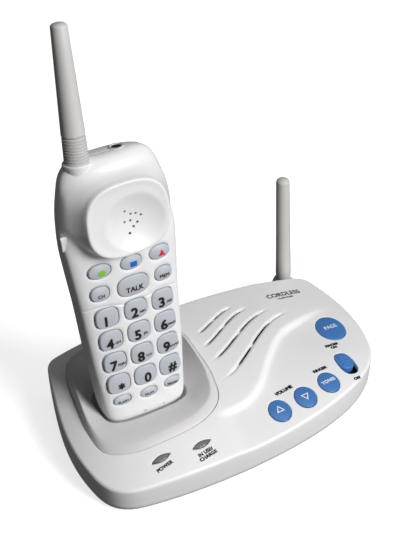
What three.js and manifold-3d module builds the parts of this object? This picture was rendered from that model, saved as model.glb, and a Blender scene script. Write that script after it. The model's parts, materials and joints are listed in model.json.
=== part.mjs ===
// Cordless telephone standing in its charging base, in millimetres.
// +X is the user's right, +Y points to the back of the base and +Z is up.
// The origin is on the table, under the middle of the whole telephone.

import * as THREE from 'three';
import { mergeVertices } from 'three/addons/utils/BufferGeometryUtils.js';
import Module from 'manifold-3d';

const wasm = await Module();
wasm.setup();

// ---------------------------------------------------------------- driving dimensions

const GAP = 0.3; // space kept between pieces that touch
const WALL = 2.2; // thickness of the moulded shells

const FAR = 300; // larger than the telephone, for cutting away a whole side

const BASE = {
  centre: new THREE.Vector2(0, -5),
  frontY: -63, // where the top starts to rise
  backY: 52.4, // straight back edge
  bottomZ: 1.7,
  partingZ: 4.2, // joint between the top shell and the floor plate
  crownBack: { top: 35.3, x: -23, drop: 13.5, left: 79, right: 116, power: 2.6 },
  crownFront: { top: 20, x: -6, drop: 4.5, left: 83, right: 100, power: 2.3 },
  bulge: 2.8, // how quickly the top climbs from the front edge
  edgeDrop: 1.4, // height of the rounded rim
  shoulder: 1.8, // inset at which the top's open surface starts
};
// Inset of the base's side wall and the height it is met at, from the floor plate up.
const BASE_SIDE = [[4.2, BASE.bottomZ], [2.2, 3], [0.5, 7.5]];

// The control panel lies one step lower than the loudspeaker area. This is the edge of the step.
const PANEL_EDGE = [
  [-25, -36.5], [-3, -35.4], [10.4, -28.4], [27.7, -11.1], [45.1, 3.3], [65.6, 11.1], [93.5, 19],
];
const PANEL_STEP = { depth: 2.4, width: 5, fadeStart: 0.12, fadeEnd: 0.55, reach: 42 };

const CRADLE_SEAM = [
  [-50, -39.3], [-29, -36.8], [-16, -28.5], [-10.5, -13], [-8.5, 10], [-8.5, 30], [-15, 43],
  [-45, 46], [-74, 44.5], [-82, 34], [-87, 10], [-89.9, -12], [-87.5, -28.5], [-75, -36.8],
];
const CRADLE = {
  centre: new THREE.Vector2(-51.4, 2.5),
  halfX: 28,
  halfY: 19.5,
  power: 4,
  rimZ: 28.5,
  floor: 2, // thickness under the handset
  riseFront: 1.2, // height of the collar's crest above the base
  riseBack: 4.8,
};

const HANDSET = {
  x: -51.4,
  y: -5.8,
  z: 70,
  tilt: THREE.MathUtils.degToRad(10.08),
  partingDepth: 11.5,
  frontPower: 5.5, // how square the front shell's cross-section is
  backPower: 2.7,
  faceBow: 0.72, // how far the face has fallen one key pitch from its middle
};
// Cross-sections up the handset: height along it, half width, depth of the face, depth of the back.
const HANDSET_SECTIONS = [
  [-46.9, 20, 2.2, 24], [-46.1, 22.4, 0.8, 26.5], [-44, 24, 0.1, 28.5], [-38, 25.2, 0, 30],
  [-25, 26.4, 0, 30.5], [-8, 27.8, 0, 31], [10, 28.8, 0, 31.5], [28, 29.8, 0, 32.5],
  [48, 31.5, 0, 34], [66, 32.7, 0, 35], [82, 31.7, 0, 35], [93, 29.5, -0.4, 34],
  [101, 27.2, 0.6, 32.5], [105, 24.8, 2, 31], [107.6, 21.8, 4, 29], [109, 18.2, 6, 27],
  [109.7, 13, 8.4, 24],
];
const CUP = { x: 0.5, v: 77.5, halfX: 23.8, halfV: 21.3, power: 2.4, receiverRadius: 13.5 };

const KEY = { bottomDepth: 3.4, rise: 1.2, dome: 0.5, clearance: 0.35, holeDepth: 7 };
// The four rows draw together slightly towards the bottom of the handset.
const DIGITS = {
  pitchX: 16.5,
  pitchV: 14.08,
  halfX: 7.2,
  halfV: 6.4,
  power: 2.9,
  spread: 1.02, // width of the top row, as a share of the pitch
  taper: 0.017, // how much narrower each lower row is
};
const EAR_HOLES = { count: 7, reach: 4.6, radius: 0.6, offsetX: 2, offsetV: -1.5 };
const MIC_SLOTS = { xs: [-4.3, 7.4], halfX: 1.6, low: -44.2, high: -43.4 };
const SIDE_BUTTON = { v: 68, depth: 7.2, halfV: 4.2, halfDepth: 1.5, innerX: -28.6, outerX: -33.6 };
const HEADSET_JACK = { x: 7.3, depth: 12.5, top: 109.9, radius: 4.4, bore: 1.9, length: 11 };
const ANTENNA = {
  x: -16.2,
  depth: 10.6,
  seat: 108.4,
  lean: THREE.MathUtils.degToRad(1.6),
  bootLength: 14.3,
  bootRadius: 6.6,
  ribs: 6,
  tip: 181,
};
const DOOR = { halfX: 20, low: -26, high: 30, depth: 22 };
const CONTACTS = { xs: [-9, 9], depth: 15, halfWidth: 1.6, halfDepth: 4 };

const LINE_JACK = { x: 10, z: 15.5, width: 13, height: 11.5, depth: 14, socketWidth: 10, socketHeight: 7 };
const POWER_JACK = { x: 36, z: 15, width: 11, height: 11, depth: 12, socketRadius: 3.5 };
const SOCKET_RECESS = 1.4; // how far the sockets' faces lie in from the back wall
const BASE_ANTENNA = {
  x: 85,
  y: 59.3,
  z: 15.5,
  length: 81.5,
  lean: THREE.MathUtils.degToRad(-2),
  pinRadius: 2.6,
};

const ROUND_BUTTONS = [
  { name: 'page_button', x: 79.2, y: -3.4, radius: 10.2 },
  { name: 'ringer_tone_button', x: 50, y: -43.9, radius: 7.5 },
  { name: 'volume_down_button', x: 31.4, y: -47.3, radius: 7.5 },
  { name: 'volume_up_button', x: 12.9, y: -49, radius: 7.5 },
];
const BUTTON_CLEARANCE = 0.35;
const SWITCH = {
  x: 68.6,
  y: -34.4,
  halfX: 5.3,
  halfY: 6.4,
  openingHalfX: 5.6,
  openingHalfY: 8.8,
  offset: 2.05, // the knob rests this far towards the back of its opening
};
const LAMPS = [
  { name: 'power_lamp_lens', x: -63.1, y: -47.7 },
  { name: 'in_use_lamp_lens', x: -39.1, y: -50.2 },
];
const LENS = { halfLength: 5.9, bow: 3.7, low: -3.4, high: 0.3, turn: 0.1, clearance: 0.2 };

// Sound slots: each is a gentle S from its start by the cradle to its end on the right.
const SLOT_STARTS = [[-6.8, -17], [-5.8, -2], [-5.5, 10], [-2.1, 22]];
const SLOT_ENDS = [[61.4, 18.2], [50.4, 24], [38.6, 30.7], [29.9, 35.5]];
const SLOT = {
  halfWidth: 0.6,
  leave: THREE.MathUtils.degToRad(22),
  arrive: THREE.MathUtils.degToRad(9),
  handle: 0.33,
  openings: [[0.12, 0.47], [0.53, 0.86]], // shares of its length that are cut through
};

const FOOT = { radius: 6, height: 2.3, recess: 2.6, clearance: 0.3 };
const FEET = [[-80, -44], [-72, 38], [72, -32], [80, 34]];
const BASE_SCREWS = [[-20, 34], [12, -40]];
const LOUDSPEAKER = { x: 24, y: 13, magnetRadius: 12, coneRadius: 22, low: 11.6, high: 24 };

// ---------------------------------------------------------------- materials

const plastic = (color, roughness) => new THREE.MeshStandardMaterial({ color, roughness, metalness: 0 });
const metal = (color, roughness) => new THREE.MeshStandardMaterial({ color, roughness, metalness: 1 });
const MATERIALS = {
  body: plastic(0xe9e9ea, 0.38),
  cradle: plastic(0xe6e6e8, 0.42),
  key: plastic(0xc3c9d3, 0.45),
  blueButton: plastic(0x417abd, 0.35),
  antenna: plastic(0xb4b1ac, 0.5),
  lens: plastic(0x77797c, 0.2),
  socket: plastic(0x26262a, 0.5),
  rubber: plastic(0x3a3a3c, 0.85),
  board: plastic(0x2f6b46, 0.55),
  battery: plastic(0x3c5fa8, 0.5),
  contact: metal(0xc9b06a, 0.3),
  steel: metal(0xa9abad, 0.35),
  cone: plastic(0x2b2b2b, 0.7),
};

// ---------------------------------------------------------------- solids and booleans

function toSolid(geometry) {
  const bare = geometry.clone();
  bare.deleteAttribute('normal');
  bare.deleteAttribute('uv');
  const merged = mergeVertices(bare, 1e-4);
  const mesh = new wasm.Mesh({
    numProp: 3,
    vertProperties: new Float32Array(merged.attributes.position.array),
    triVerts: new Uint32Array(merged.index.array),
  });
  return new wasm.Manifold(mesh);
}

function toGeometry(solid) {
  const mesh = solid.getMesh();
  const geometry = new THREE.BufferGeometry();
  geometry.setAttribute('position', new THREE.BufferAttribute(new Float32Array(mesh.vertProperties), 3));
  geometry.setIndex(new THREE.BufferAttribute(new Uint32Array(mesh.triVerts), 1));
  geometry.computeVertexNormals();
  return geometry;
}

function signedVolume(positions, triangles) {
  let volume = 0;
  for (const [a, b, c] of triangles) {
    volume += positions[a].dot(new THREE.Vector3().crossVectors(positions[b], positions[c]));
  }
  return volume;
}

// A closed body through a stack of rings with equal point counts; both ends close to their middle.
function skin(rings) {
  const count = rings[0].length;
  const positions = rings.flat();
  const middle = (ring) => ring.reduce((sum, p) => sum.add(p), new THREE.Vector3()).divideScalar(count);
  const first = positions.push(middle(rings[0])) - 1;
  const last = positions.push(middle(rings[rings.length - 1])) - 1;
  const triangles = [];
  for (let i = 0; i < count; i++) {
    const j = (i + 1) % count;
    for (let k = 0; k + 1 < rings.length; k++) {
      const low = k * count;
      const high = low + count;
      triangles.push([low + i, low + j, high + j], [low + i, high + j, high + i]);
    }
    const top = (rings.length - 1) * count;
    triangles.push([first, j, i], [last, top + i, top + j]);
  }
  if (signedVolume(positions, triangles) < 0) triangles.forEach((triangle) => triangle.reverse());
  const geometry = new THREE.BufferGeometry().setFromPoints(positions);
  geometry.setIndex(triangles.flat());
  geometry.computeVertexNormals();
  return geometry;
}

function boxBetween(low, high) {
  const size = new THREE.Vector3().subVectors(high, low);
  const centre = new THREE.Vector3().addVectors(high, low).multiplyScalar(0.5);
  return new THREE.BoxGeometry(size.x, size.y, size.z).translate(centre.x, centre.y, centre.z);
}

function box(x0, y0, z0, x1, y1, z1) {
  return boxBetween(new THREE.Vector3(x0, y0, z0), new THREE.Vector3(x1, y1, z1));
}

// A turned piece along +Z; the profile holds [radius, z] pairs from the axis back to the axis.
function turned(profile, sides) {
  const points = profile.map(([radius, z]) => new THREE.Vector2(radius, z));
  return new THREE.LatheGeometry(points, sides).rotateX(Math.PI / 2);
}

function disc(radius, low, high, sides = 20) {
  return turned([[0, low], [radius, low], [radius, high], [0, high]], sides);
}

function prism(outline, low, high) {
  const shape = new THREE.Shape(outline);
  return new THREE.ExtrudeGeometry(shape, { depth: high - low, bevelEnabled: false }).translate(0, 0, low);
}

const smooth = (t) => {
  const s = THREE.MathUtils.clamp(t, 0, 1);
  return s * s * (3 - 2 * s);
};

// ---------------------------------------------------------------- outlines

// How far a superellipse reaches from its centre along a unit direction.
function superellipseReach(way, { halfX, halfY, power }) {
  return (Math.abs(way.x / halfX) ** power + Math.abs(way.y / halfY) ** power) ** (-1 / power);
}

function superellipse(halfX, halfY, power, sides) {
  const points = [];
  for (let i = 0; i < sides; i++) {
    const angle = (2 * Math.PI * (i + 0.5)) / sides;
    const way = new THREE.Vector2(Math.cos(angle), Math.sin(angle));
    points.push(way.multiplyScalar(superellipseReach(way, { halfX, halfY, power })));
  }
  return points;
}

function inset(outline, distance) {
  return outline.map((point, i) => {
    const before = outline[(i + outline.length - 1) % outline.length];
    const after = outline[(i + 1) % outline.length];
    const along = new THREE.Vector2().subVectors(after, before).normalize();
    return new THREE.Vector2(point.x - along.y * distance, point.y + along.x * distance);
  });
}

function scaled(outline, factor, centre) {
  return outline.map((p) => p.clone().sub(centre).multiplyScalar(factor).add(centre));
}

// The plan of the base, counter-clockwise from the back right.
function baseOutline(count) {
  const shape = new THREE.Shape();
  shape.moveTo(86.9, BASE.backY);
  shape.lineTo(-81.1, BASE.backY);
  shape.quadraticCurveTo(-86.7, BASE.backY, -88.6, 46);
  shape.bezierCurveTo(-100.5, 6, -102.7, -12, -100.1, -33);
  shape.bezierCurveTo(-98.6, -48.5, -92.6, -56.4, -78.1, -59.2);
  shape.bezierCurveTo(-47.1, -65.2, -1.1, -65.8, 34.9, -59);
  shape.bezierCurveTo(62.9, -53.5, 83.4, -43.5, 91.9, -28);
  shape.bezierCurveTo(104.4, -3, 103.4, 25, 97.3, 45);
  shape.quadraticCurveTo(95.5, BASE.backY, 86.9, BASE.backY);
  return shape.getSpacedPoints(count).slice(0, count);
}

function closedSpline(points, count) {
  const through = points.map(([x, y]) => new THREE.Vector3(x, y, 0));
  const curve = new THREE.CatmullRomCurve3(through, true, 'centripetal');
  return curve.getSpacedPoints(count).slice(0, count).map((p) => new THREE.Vector2(p.x, p.y));
}

// ---------------------------------------------------------------- shape of the base top

function crown(x, { top, x: middle, drop, left, right, power }) {
  const half = x < middle ? left : right;
  return top - drop * (Math.abs(x - middle) / half) ** power;
}

const panelCurve = new THREE.CatmullRomCurve3(
  PANEL_EDGE.map(([x, y]) => new THREE.Vector3(x, y, 0)), false, 'centripetal',
).getSpacedPoints(40);

// Distance past the panel edge (positive on the panel side) and how far along the edge it is measured.
function panelPosition(x, y) {
  let best = { distance: Infinity, side: 1, along: 0 };
  for (let i = 0; i + 1 < panelCurve.length; i++) {
    const a = panelCurve[i];
    const b = panelCurve[i + 1];
    const dx = b.x - a.x;
    const dy = b.y - a.y;
    const t = THREE.MathUtils.clamp(((x - a.x) * dx + (y - a.y) * dy) / (dx * dx + dy * dy), 0, 1);
    const distance = Math.hypot(x - a.x - t * dx, y - a.y - t * dy);
    if (distance < best.distance) {
      const side = Math.sign((x - a.x) * dy - (y - a.y) * dx);
      best = { distance, side, along: (i + t) / (panelCurve.length - 1) };
    }
  }
  return best;
}

function panelDrop(x, y) {
  const { distance, side, along } = panelPosition(x, y);
  if (side < 0) return 0;
  const { depth, width, fadeStart, fadeEnd, reach } = PANEL_STEP;
  const ends = smooth(along / fadeStart) * (1 - smooth((along - fadeEnd) / (1 - fadeEnd)));
  const away = 1 - smooth((distance - width) / reach);
  return depth * ends * away * smooth(distance / width);
}

function topHeight(x, y) {
  const t = THREE.MathUtils.clamp((y - BASE.frontY) / (BASE.backY - BASE.frontY), 0, 1);
  const front = crown(x, BASE.crownFront);
  const climb = (crown(x, BASE.crownBack) - front) * (1 - (1 - t) ** BASE.bulge);
  return front + climb - panelDrop(x, y);
}

const lifted = (outline, drop) => outline.map((p) => new THREE.Vector3(p.x, p.y, topHeight(p.x, p.y) - drop));
const flat = (outline, z) => outline.map((p) => new THREE.Vector3(p.x, p.y, z));

// Placement on the top surface: origin on it, z along its normal, y up the slope.
function surfaceFrame(x, y, turn = 0) {
  const step = 1;
  const slopeX = (topHeight(x + step, y) - topHeight(x - step, y)) / (2 * step);
  const slopeY = (topHeight(x, y + step) - topHeight(x, y - step)) / (2 * step);
  const normal = new THREE.Vector3(-slopeX, -slopeY, 1).normalize();
  const across = new THREE.Vector3(1, 0, slopeX).normalize();
  const up = new THREE.Vector3().crossVectors(normal, across);
  const frame = new THREE.Matrix4().makeBasis(across, up, normal).setPosition(x, y, topHeight(x, y));
  return frame.multiply(new THREE.Matrix4().makeRotationZ(turn));
}

// ---------------------------------------------------------------- base shells

function baseOuter() {
  const outline = baseOutline(72);
  const shoulder = inset(outline, BASE.shoulder);
  const rings = BASE_SIDE.map(([distance, z]) => flat(inset(outline, distance), z));
  rings.push(lifted(outline, BASE.edgeDrop), lifted(inset(outline, 0.5), 0.4), lifted(shoulder, 0));
  for (const factor of [0.92, 0.82, 0.7, 0.57, 0.43, 0.28, 0.14]) {
    rings.push(lifted(scaled(shoulder, factor, BASE.centre), 0));
  }
  return toSolid(skin(rings));
}

function baseInner() {
  const outline = baseOutline(36);
  const ceiling = inset(outline, WALL + 2.6);
  const rings = [flat(inset(outline, WALL + 3.4), BASE.bottomZ + WALL), flat(inset(outline, WALL + 0.7), 8)];
  rings.push(lifted(inset(outline, WALL + 0.3), 4.4), lifted(ceiling, WALL + 0.5));
  for (const factor of [0.82, 0.62, 0.4, 0.2]) {
    rings.push(lifted(scaled(ceiling, factor, BASE.centre), WALL + 0.5));
  }
  return toSolid(skin(rings));
}

const baseShell = baseOuter().subtract(baseInner());

// A turned piece laid along +Y on the base antenna's hinge line.
function alongBack(geometry, y) {
  return geometry.rotateX(-Math.PI / 2).translate(BASE_ANTENNA.x, y, BASE_ANTENNA.z);
}

function slotCurve(index) {
  const start = new THREE.Vector3(...SLOT_STARTS[index], 0);
  const end = new THREE.Vector3(...SLOT_ENDS[index], 0);
  const reach = start.distanceTo(end) * SLOT.handle;
  const away = (angle) => new THREE.Vector3(Math.cos(angle), Math.sin(angle), 0).multiplyScalar(reach);
  const afterStart = start.clone().add(away(SLOT.leave));
  const beforeEnd = end.clone().sub(away(SLOT.arrive));
  return new THREE.CubicBezierCurve3(start, afterStart, beforeEnd, end);
}

function slotCutter(index, from, to) {
  const curve = slotCurve(index);
  const { halfWidth } = SLOT;
  const steps = 5;
  const left = [];
  const right = [];
  for (let i = 0; i <= steps; i++) {
    const t = from + ((to - from) * i) / steps;
    const point = curve.getPoint(t);
    const along = curve.getTangent(t);
    left.push(new THREE.Vector2(point.x - along.y * halfWidth, point.y + along.x * halfWidth));
    right.unshift(new THREE.Vector2(point.x + along.y * halfWidth, point.y - along.x * halfWidth));
  }
  return toSolid(prism([...right, ...left], 20, 45));
}

// ---------------------------------------------------------------- controls on the base

function leafOutline(margin) {
  const half = LENS.halfLength + margin * 2;
  const bow = LENS.bow + margin * 2;
  const shape = new THREE.Shape();
  shape.moveTo(-half, 0);
  shape.quadraticCurveTo(0, -bow, half, 0);
  shape.quadraticCurveTo(0, bow, -half, 0);
  return shape.getSpacedPoints(16).slice(0, 16);
}

function roundButton({ radius }) {
  return turned([[0, -5.2], [radius + 0.7, -5.2], [radius + 0.7, -4.4], [radius, -4.4], [radius, 0.5],
    [radius - 0.8, 1.1], [0, 1.5]], 20);
}

function switchKnob() {
  const outline = superellipse(SWITCH.halfX, SWITCH.halfY, 2.4, 20);
  const centre = new THREE.Vector2();
  const at = (factor, z) => flat(scaled(outline, factor, centre), z);
  return skin([at(1, -4), at(1, -0.4), at(0.88, 0.5), at(0.5, 0.9)]).translate(0, SWITCH.offset, 0);
}

function cutTopShell() {
  let shell = baseShell.subtract(toSolid(box(-FAR, -FAR, -FAR, FAR, FAR, BASE.partingZ + GAP / 2)));
  const cut = (geometry) => { shell = shell.subtract(toSolid(geometry)); };
  cut(prism(inset(closedSpline(CRADLE_SEAM, 48), -GAP), 0, 60));
  for (const button of ROUND_BUTTONS) {
    cut(disc(button.radius + BUTTON_CLEARANCE, -9, 9).applyMatrix4(surfaceFrame(button.x, button.y)));
  }
  for (const lamp of LAMPS) {
    cut(prism(leafOutline(LENS.clearance), -6, 6).applyMatrix4(surfaceFrame(lamp.x, lamp.y, LENS.turn)));
  }
  const opening = superellipse(SWITCH.openingHalfX, SWITCH.openingHalfY, 2.6, 24);
  cut(prism(opening, -9, 9).applyMatrix4(surfaceFrame(SWITCH.x, SWITCH.y)));
  for (let i = 0; i < SLOT_STARTS.length; i++) {
    for (const [from, to] of SLOT.openings) {
      shell = shell.subtract(slotCutter(i, from, to));
    }
  }
  for (const jack of [LINE_JACK, POWER_JACK]) {
    const side = jack.width / 2 + GAP;
    const rise = jack.height / 2 + GAP;
    cut(box(jack.x - side, 40, jack.z - rise, jack.x + side, 60, jack.z + rise));
  }
  cut(alongBack(disc(BASE_ANTENNA.pinRadius + 1.8, 0, 20), 45));
  return toGeometry(shell);
}

function cutBottomShell() {
  let shell = baseShell.subtract(toSolid(box(-FAR, -FAR, BASE.partingZ - GAP / 2, FAR, FAR, FAR)));
  for (const [x, y] of FEET) {
    shell = shell.subtract(toSolid(disc(FOOT.radius + FOOT.clearance, 0, FOOT.recess).translate(x, y, 0)));
  }
  for (const [x, y] of BASE_SCREWS) {
    shell = shell.subtract(toSolid(disc(3.3, 0, 3, 16).translate(x, y, 0)));
    shell = shell.subtract(toSolid(disc(1.8, 0, 8, 12).translate(x, y, 0)));
  }
  return toGeometry(shell);
}

// ---------------------------------------------------------------- cradle

const UP = new THREE.Vector3(0, Math.sin(HANDSET.tilt), Math.cos(HANDSET.tilt));
const [[HANDSET_BOTTOM]] = HANDSET_SECTIONS;

// Height of the plane just under the handset, which the cradle's floor follows.
function floorHeight(y) {
  const drop = HANDSET.z + UP.z * (HANDSET_BOTTOM - 0.8);
  const middleY = HANDSET.y + UP.y * (HANDSET_BOTTOM - 0.8);
  return drop - (y - middleY) * Math.tan(HANDSET.tilt);
}

function cradleInsert() {
  const seam = closedSpline(CRADLE_SEAM, 48);
  const well = seam.map((p) => {
    const way = p.clone().sub(CRADLE.centre).normalize();
    return way.multiplyScalar(superellipseReach(way, CRADLE)).add(CRADLE.centre);
  });
  const rise = (y) => THREE.MathUtils.lerp(CRADLE.riseFront, CRADLE.riseBack, smooth((y + 34) / 50));
  const between = (share, drop, height) => seam.map((p, i) => {
    const q = p.clone().lerp(well[i], share);
    const crest = topHeight(q.x, q.y) + rise(q.y);
    return new THREE.Vector3(q.x, q.y, height(crest, p) - drop);
  });
  const onSurface = (crest, p) => crest - rise(p.y);
  const dish = (share) => (crest) => THREE.MathUtils.lerp(crest, CRADLE.rimZ - 2.5, share);
  const pocket = (factor, drop) => scaled(well, factor, CRADLE.centre)
    .map((p) => new THREE.Vector3(p.x, p.y, floorHeight(p.y) - drop));
  return skin([
    pocket(0.5, CRADLE.floor), pocket(0.96, CRADLE.floor),
    between(0.8, 3, dish(0.96)), between(0.3, 3, dish(0)),
    between(0.02, 5, onSurface), between(0, 0.2, onSurface),
    between(0.08, 1, dish(0)), between(0.22, 0, dish(0)), between(0.42, 0, dish(0.3)),
    between(0.7, 0, dish(0.72)), between(0.98, 0, dish(1)),
    pocket(0.985, 0), pocket(0.5, 0),
  ]);
}

// A piece described along the handset's axes: x across, y into its depth, z up along it.
const handsetMatrix = new THREE.Matrix4()
  .makeRotationX(-HANDSET.tilt)
  .setPosition(HANDSET.x, HANDSET.y, HANDSET.z);

// A box around one charging contact, along the handset's axes.
function contactBox(x, halfWidth, halfDepth, low, high) {
  return box(x - halfWidth, CONTACTS.depth - halfDepth, low, x + halfWidth, CONTACTS.depth + halfDepth, high);
}

function cradleContact(x) {
  const { halfWidth, halfDepth } = CONTACTS;
  const spring = contactBox(x, halfWidth, halfDepth, HANDSET_BOTTOM - 3.4, HANDSET_BOTTOM - GAP);
  return spring.applyMatrix4(handsetMatrix);
}

function cutCradle() {
  let solid = toSolid(cradleInsert());
  const halfWidth = CONTACTS.halfWidth + 0.4;
  const halfDepth = CONTACTS.halfDepth + 0.4;
  for (const x of CONTACTS.xs) {
    const room = contactBox(x, halfWidth, halfDepth, HANDSET_BOTTOM - 9, HANDSET_BOTTOM + 3);
    solid = solid.subtract(toSolid(room.applyMatrix4(handsetMatrix)));
  }
  return toGeometry(solid);
}

// ---------------------------------------------------------------- handset shells

// How far the bowed face lies behind its own middle line.
const faceDepth = (x) => HANDSET.faceBow * (x / DIGITS.pitchX) ** 2;

function handsetSection([v, halfWidth, face, back], margin, sides) {
  const ring = [];
  const middle = HANDSET.partingDepth;
  for (let i = 0; i < sides; i++) {
    const angle = (2 * Math.PI * (i + 0.5)) / sides;
    const front = Math.sin(angle) < 0;
    const power = front ? HANDSET.frontPower : HANDSET.backPower;
    const half = halfWidth - margin;
    const deep = front ? middle - face - margin : back - middle - margin;
    const x = half * Math.sign(Math.cos(angle)) * Math.abs(Math.cos(angle)) ** (2 / power);
    const y = deep * Math.sign(Math.sin(angle)) * Math.abs(Math.sin(angle)) ** (2 / power);
    const bow = front ? faceDepth(x) * (Math.abs(y) / deep) : 0;
    ring.push(new THREE.Vector3(x, middle + y + bow, v));
  }
  return ring;
}

function antennaPlaced(geometry) {
  return geometry.rotateY(ANTENNA.lean).translate(ANTENNA.x, ANTENNA.depth, ANTENNA.seat);
}

function earCup() {
  const outline = superellipse(CUP.halfX, CUP.halfV, CUP.power, 24);
  const layer = (factor, height) => outline.map((p) => (
    new THREE.Vector3(CUP.x + p.x * factor, -height, CUP.v + p.y * factor)));
  return skin([
    layer(0.9, -4), layer(1.04, -1), layer(1, 1.4), layer(0.965, 5), layer(0.9, 7.6),
    layer(0.83, 8.3), layer(0.74, 8), layer(0.6, 6.6), layer(0.4, 5.6), layer(0.2, 5.4),
  ]);
}

const acrossDepth = (geometry) => geometry.rotateX(-Math.PI / 2);

function receiverRoom() {
  return acrossDepth(disc(CUP.receiverRadius + 0.6, -3.2, 4)).translate(CUP.x, 0, CUP.v);
}

function antennaFairing() {
  return antennaPlaced(turned([[0, -16], [4, -16], [5.2, -10], [7.6, -1.2], [7.6, -0.2], [0, -0.2]], 20));
}

const inner = HANDSET_SECTIONS.filter((section, i) => i % 2 === 1 || i === 2);
const handsetOuter = toSolid(skin(HANDSET_SECTIONS.map((section) => handsetSection(section, 0, 32))));
const handsetInner = toSolid(skin(inner.map(([v, ...rest]) => (
  handsetSection([v * 0.975 + 0.5, ...rest], WALL, 16)
))));
const handsetHollow = handsetOuter.add(toSolid(antennaFairing())).subtract(handsetInner);
const antennaSeat = antennaPlaced(turned([[0, -12], [3.2, -12], [3.2, 0], [7, 0], [7, 20], [0, 20]], 20));
const headBody = handsetHollow
  .add(toSolid(earCup()))
  .subtract(toSolid(receiverRoom()))
  .subtract(toSolid(antennaSeat));

// ---------------------------------------------------------------- keys

function digitKeys() {
  const { pitchX, pitchV, halfX, halfV, power, spread, taper } = DIGITS;
  const names = ['1', '2', '3', '4', '5', '6', '7', '8', '9', 'star', '0', 'hash'];
  return names.map((name, i) => {
    const row = Math.floor(i / 3);
    const x = ((i % 3) - 1) * pitchX * (spread - taper * row);
    return { name: `key_${name}`, x, v: (1.5 - row) * pitchV, halfX, halfV, power };
  });
}

const KEYS = [
  ...digitKeys(),
  { name: 'key_talk', x: 0.6, v: 35.6, halfX: 10, halfV: 6.4, power: 2.6 },
  { name: 'key_channel', x: -18.6, v: 36.4, halfX: 5.9, halfV: 4.7, power: 2.4 },
  { name: 'key_memory', x: 19.3, v: 36.2, halfX: 5.9, halfV: 4.7, power: 2.4 },
  { name: 'key_boost_green', x: -17, v: 49.4, halfX: 7.3, halfV: 4.6, power: 2.1 },
  { name: 'key_boost_blue', x: 1.2, v: 49.3, halfX: 7, halfV: 4.6, power: 2.1 },
  { name: 'key_boost_red', x: 18.6, v: 49.4, halfX: 7, halfV: 4.6, power: 2.1 },
  { name: 'key_flash', x: -15.4, v: -32.3, halfX: 6, halfV: 3.5, power: 2.1 },
  { name: 'key_mute', x: 0.7, v: -33, halfX: 6, halfV: 3.5, power: 2.1 },
  { name: 'key_redial', x: 16, v: -32.3, halfX: 6, halfV: 3.5, power: 2.1 },
];

function keyCap({ x, v, halfX, halfV, power }) {
  const outline = superellipse(halfX, halfV, power, 14);
  const face = faceDepth(x);
  const at = (factor, depth) => outline.map((p) => (
    new THREE.Vector3(x + p.x * factor, face + depth, v + p.y * factor)
  ));
  const { bottomDepth, rise, dome } = KEY;
  return skin([at(1, bottomDepth), at(1, -rise + 0.5), at(0.9, -rise), at(0.5, -rise - dome)]);
}

function keyHole({ x, v, halfX, halfV, power }) {
  const outline = superellipse(halfX + KEY.clearance, halfV + KEY.clearance, power, 14);
  return acrossDepth(prism(outline, -KEY.holeDepth, KEY.holeDepth)).translate(x, 0, v);
}

function sideButton() {
  const { depth, v, halfDepth, halfV, innerX, outerX } = SIDE_BUTTON;
  const outline = superellipse(halfDepth, halfV, 3, 14);
  const at = (factor, x) => outline.map((p) => new THREE.Vector3(x, depth + p.x * factor, v + p.y * factor));
  return skin([at(1, innerX), at(1, outerX + 0.6), at(0.75, outerX)]);
}

function sideButtonHole() {
  const { depth, v } = SIDE_BUTTON;
  const halfDepth = SIDE_BUTTON.halfDepth + GAP;
  const halfV = SIDE_BUTTON.halfV + GAP;
  return box(-40, depth - halfDepth, v - halfV, -27, depth + halfDepth, v + halfV);
}

function jackAt(geometry) {
  return geometry.translate(HEADSET_JACK.x, HEADSET_JACK.depth, 0);
}

const jackHole = () => jackAt(disc(HEADSET_JACK.radius + GAP, 98, 120));

function earHoles() {
  const { count, reach, radius, offsetX, offsetV } = EAR_HOLES;
  const x = CUP.x + offsetX;
  const v = CUP.v + offsetV;
  const hole = (dx, dv) => acrossDepth(disc(radius, -12, 0, 6)).translate(x + dx, 0, v + dv);
  const holes = [hole(0, 0)];
  for (let i = 0; i < count; i++) {
    const angle = (i * Math.PI * 2) / count;
    holes.push(hole(reach * Math.cos(angle), reach * Math.sin(angle)));
  }
  return holes;
}

function micSlots() {
  const { xs, halfX, low, high } = MIC_SLOTS;
  return xs.map((x) => box(x - halfX, -3, low, x + halfX, 6, high));
}

function cutFrontShell() {
  let shell = headBody.subtract(toSolid(box(-FAR, HANDSET.partingDepth - GAP / 2, -FAR, FAR, FAR, FAR)));
  for (const hole of [...KEYS.map(keyHole), sideButtonHole(), ...micSlots(), ...earHoles(), jackHole()]) {
    shell = shell.subtract(toSolid(hole));
  }
  return toGeometry(shell);
}

function doorRegion(margin) {
  const halfX = DOOR.halfX - margin;
  return toSolid(box(-halfX, DOOR.depth, DOOR.low + margin, halfX, FAR, DOOR.high - margin));
}

const frontRegion = box(-FAR, -FAR, -FAR, FAR, HANDSET.partingDepth + GAP / 2, FAR);
const handsetBack = headBody.subtract(toSolid(frontRegion));

function cutBackShell() {
  let shell = handsetBack.subtract(doorRegion(0)).subtract(toSolid(jackHole()));
  for (const x of CONTACTS.xs) {
    shell = shell.subtract(toSolid(contactBox(x, 2.3, 2.3, HANDSET_BOTTOM - 3, HANDSET_BOTTOM + 7)));
  }
  return toGeometry(shell);
}

const batteryDoor = () => toGeometry(handsetBack.intersect(doorRegion(GAP)));

function headsetJack() {
  const { radius, bore, top, length } = HEADSET_JACK;
  const bottom = top - length;
  return jackAt(turned([[0, bottom], [radius, bottom], [radius, top - 0.6], [radius - 0.6, top],
    [bore + 0.8, top - 0.2], [bore, top - 0.8], [bore, bottom + 1], [0, bottom + 1]], 20));
}

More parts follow.
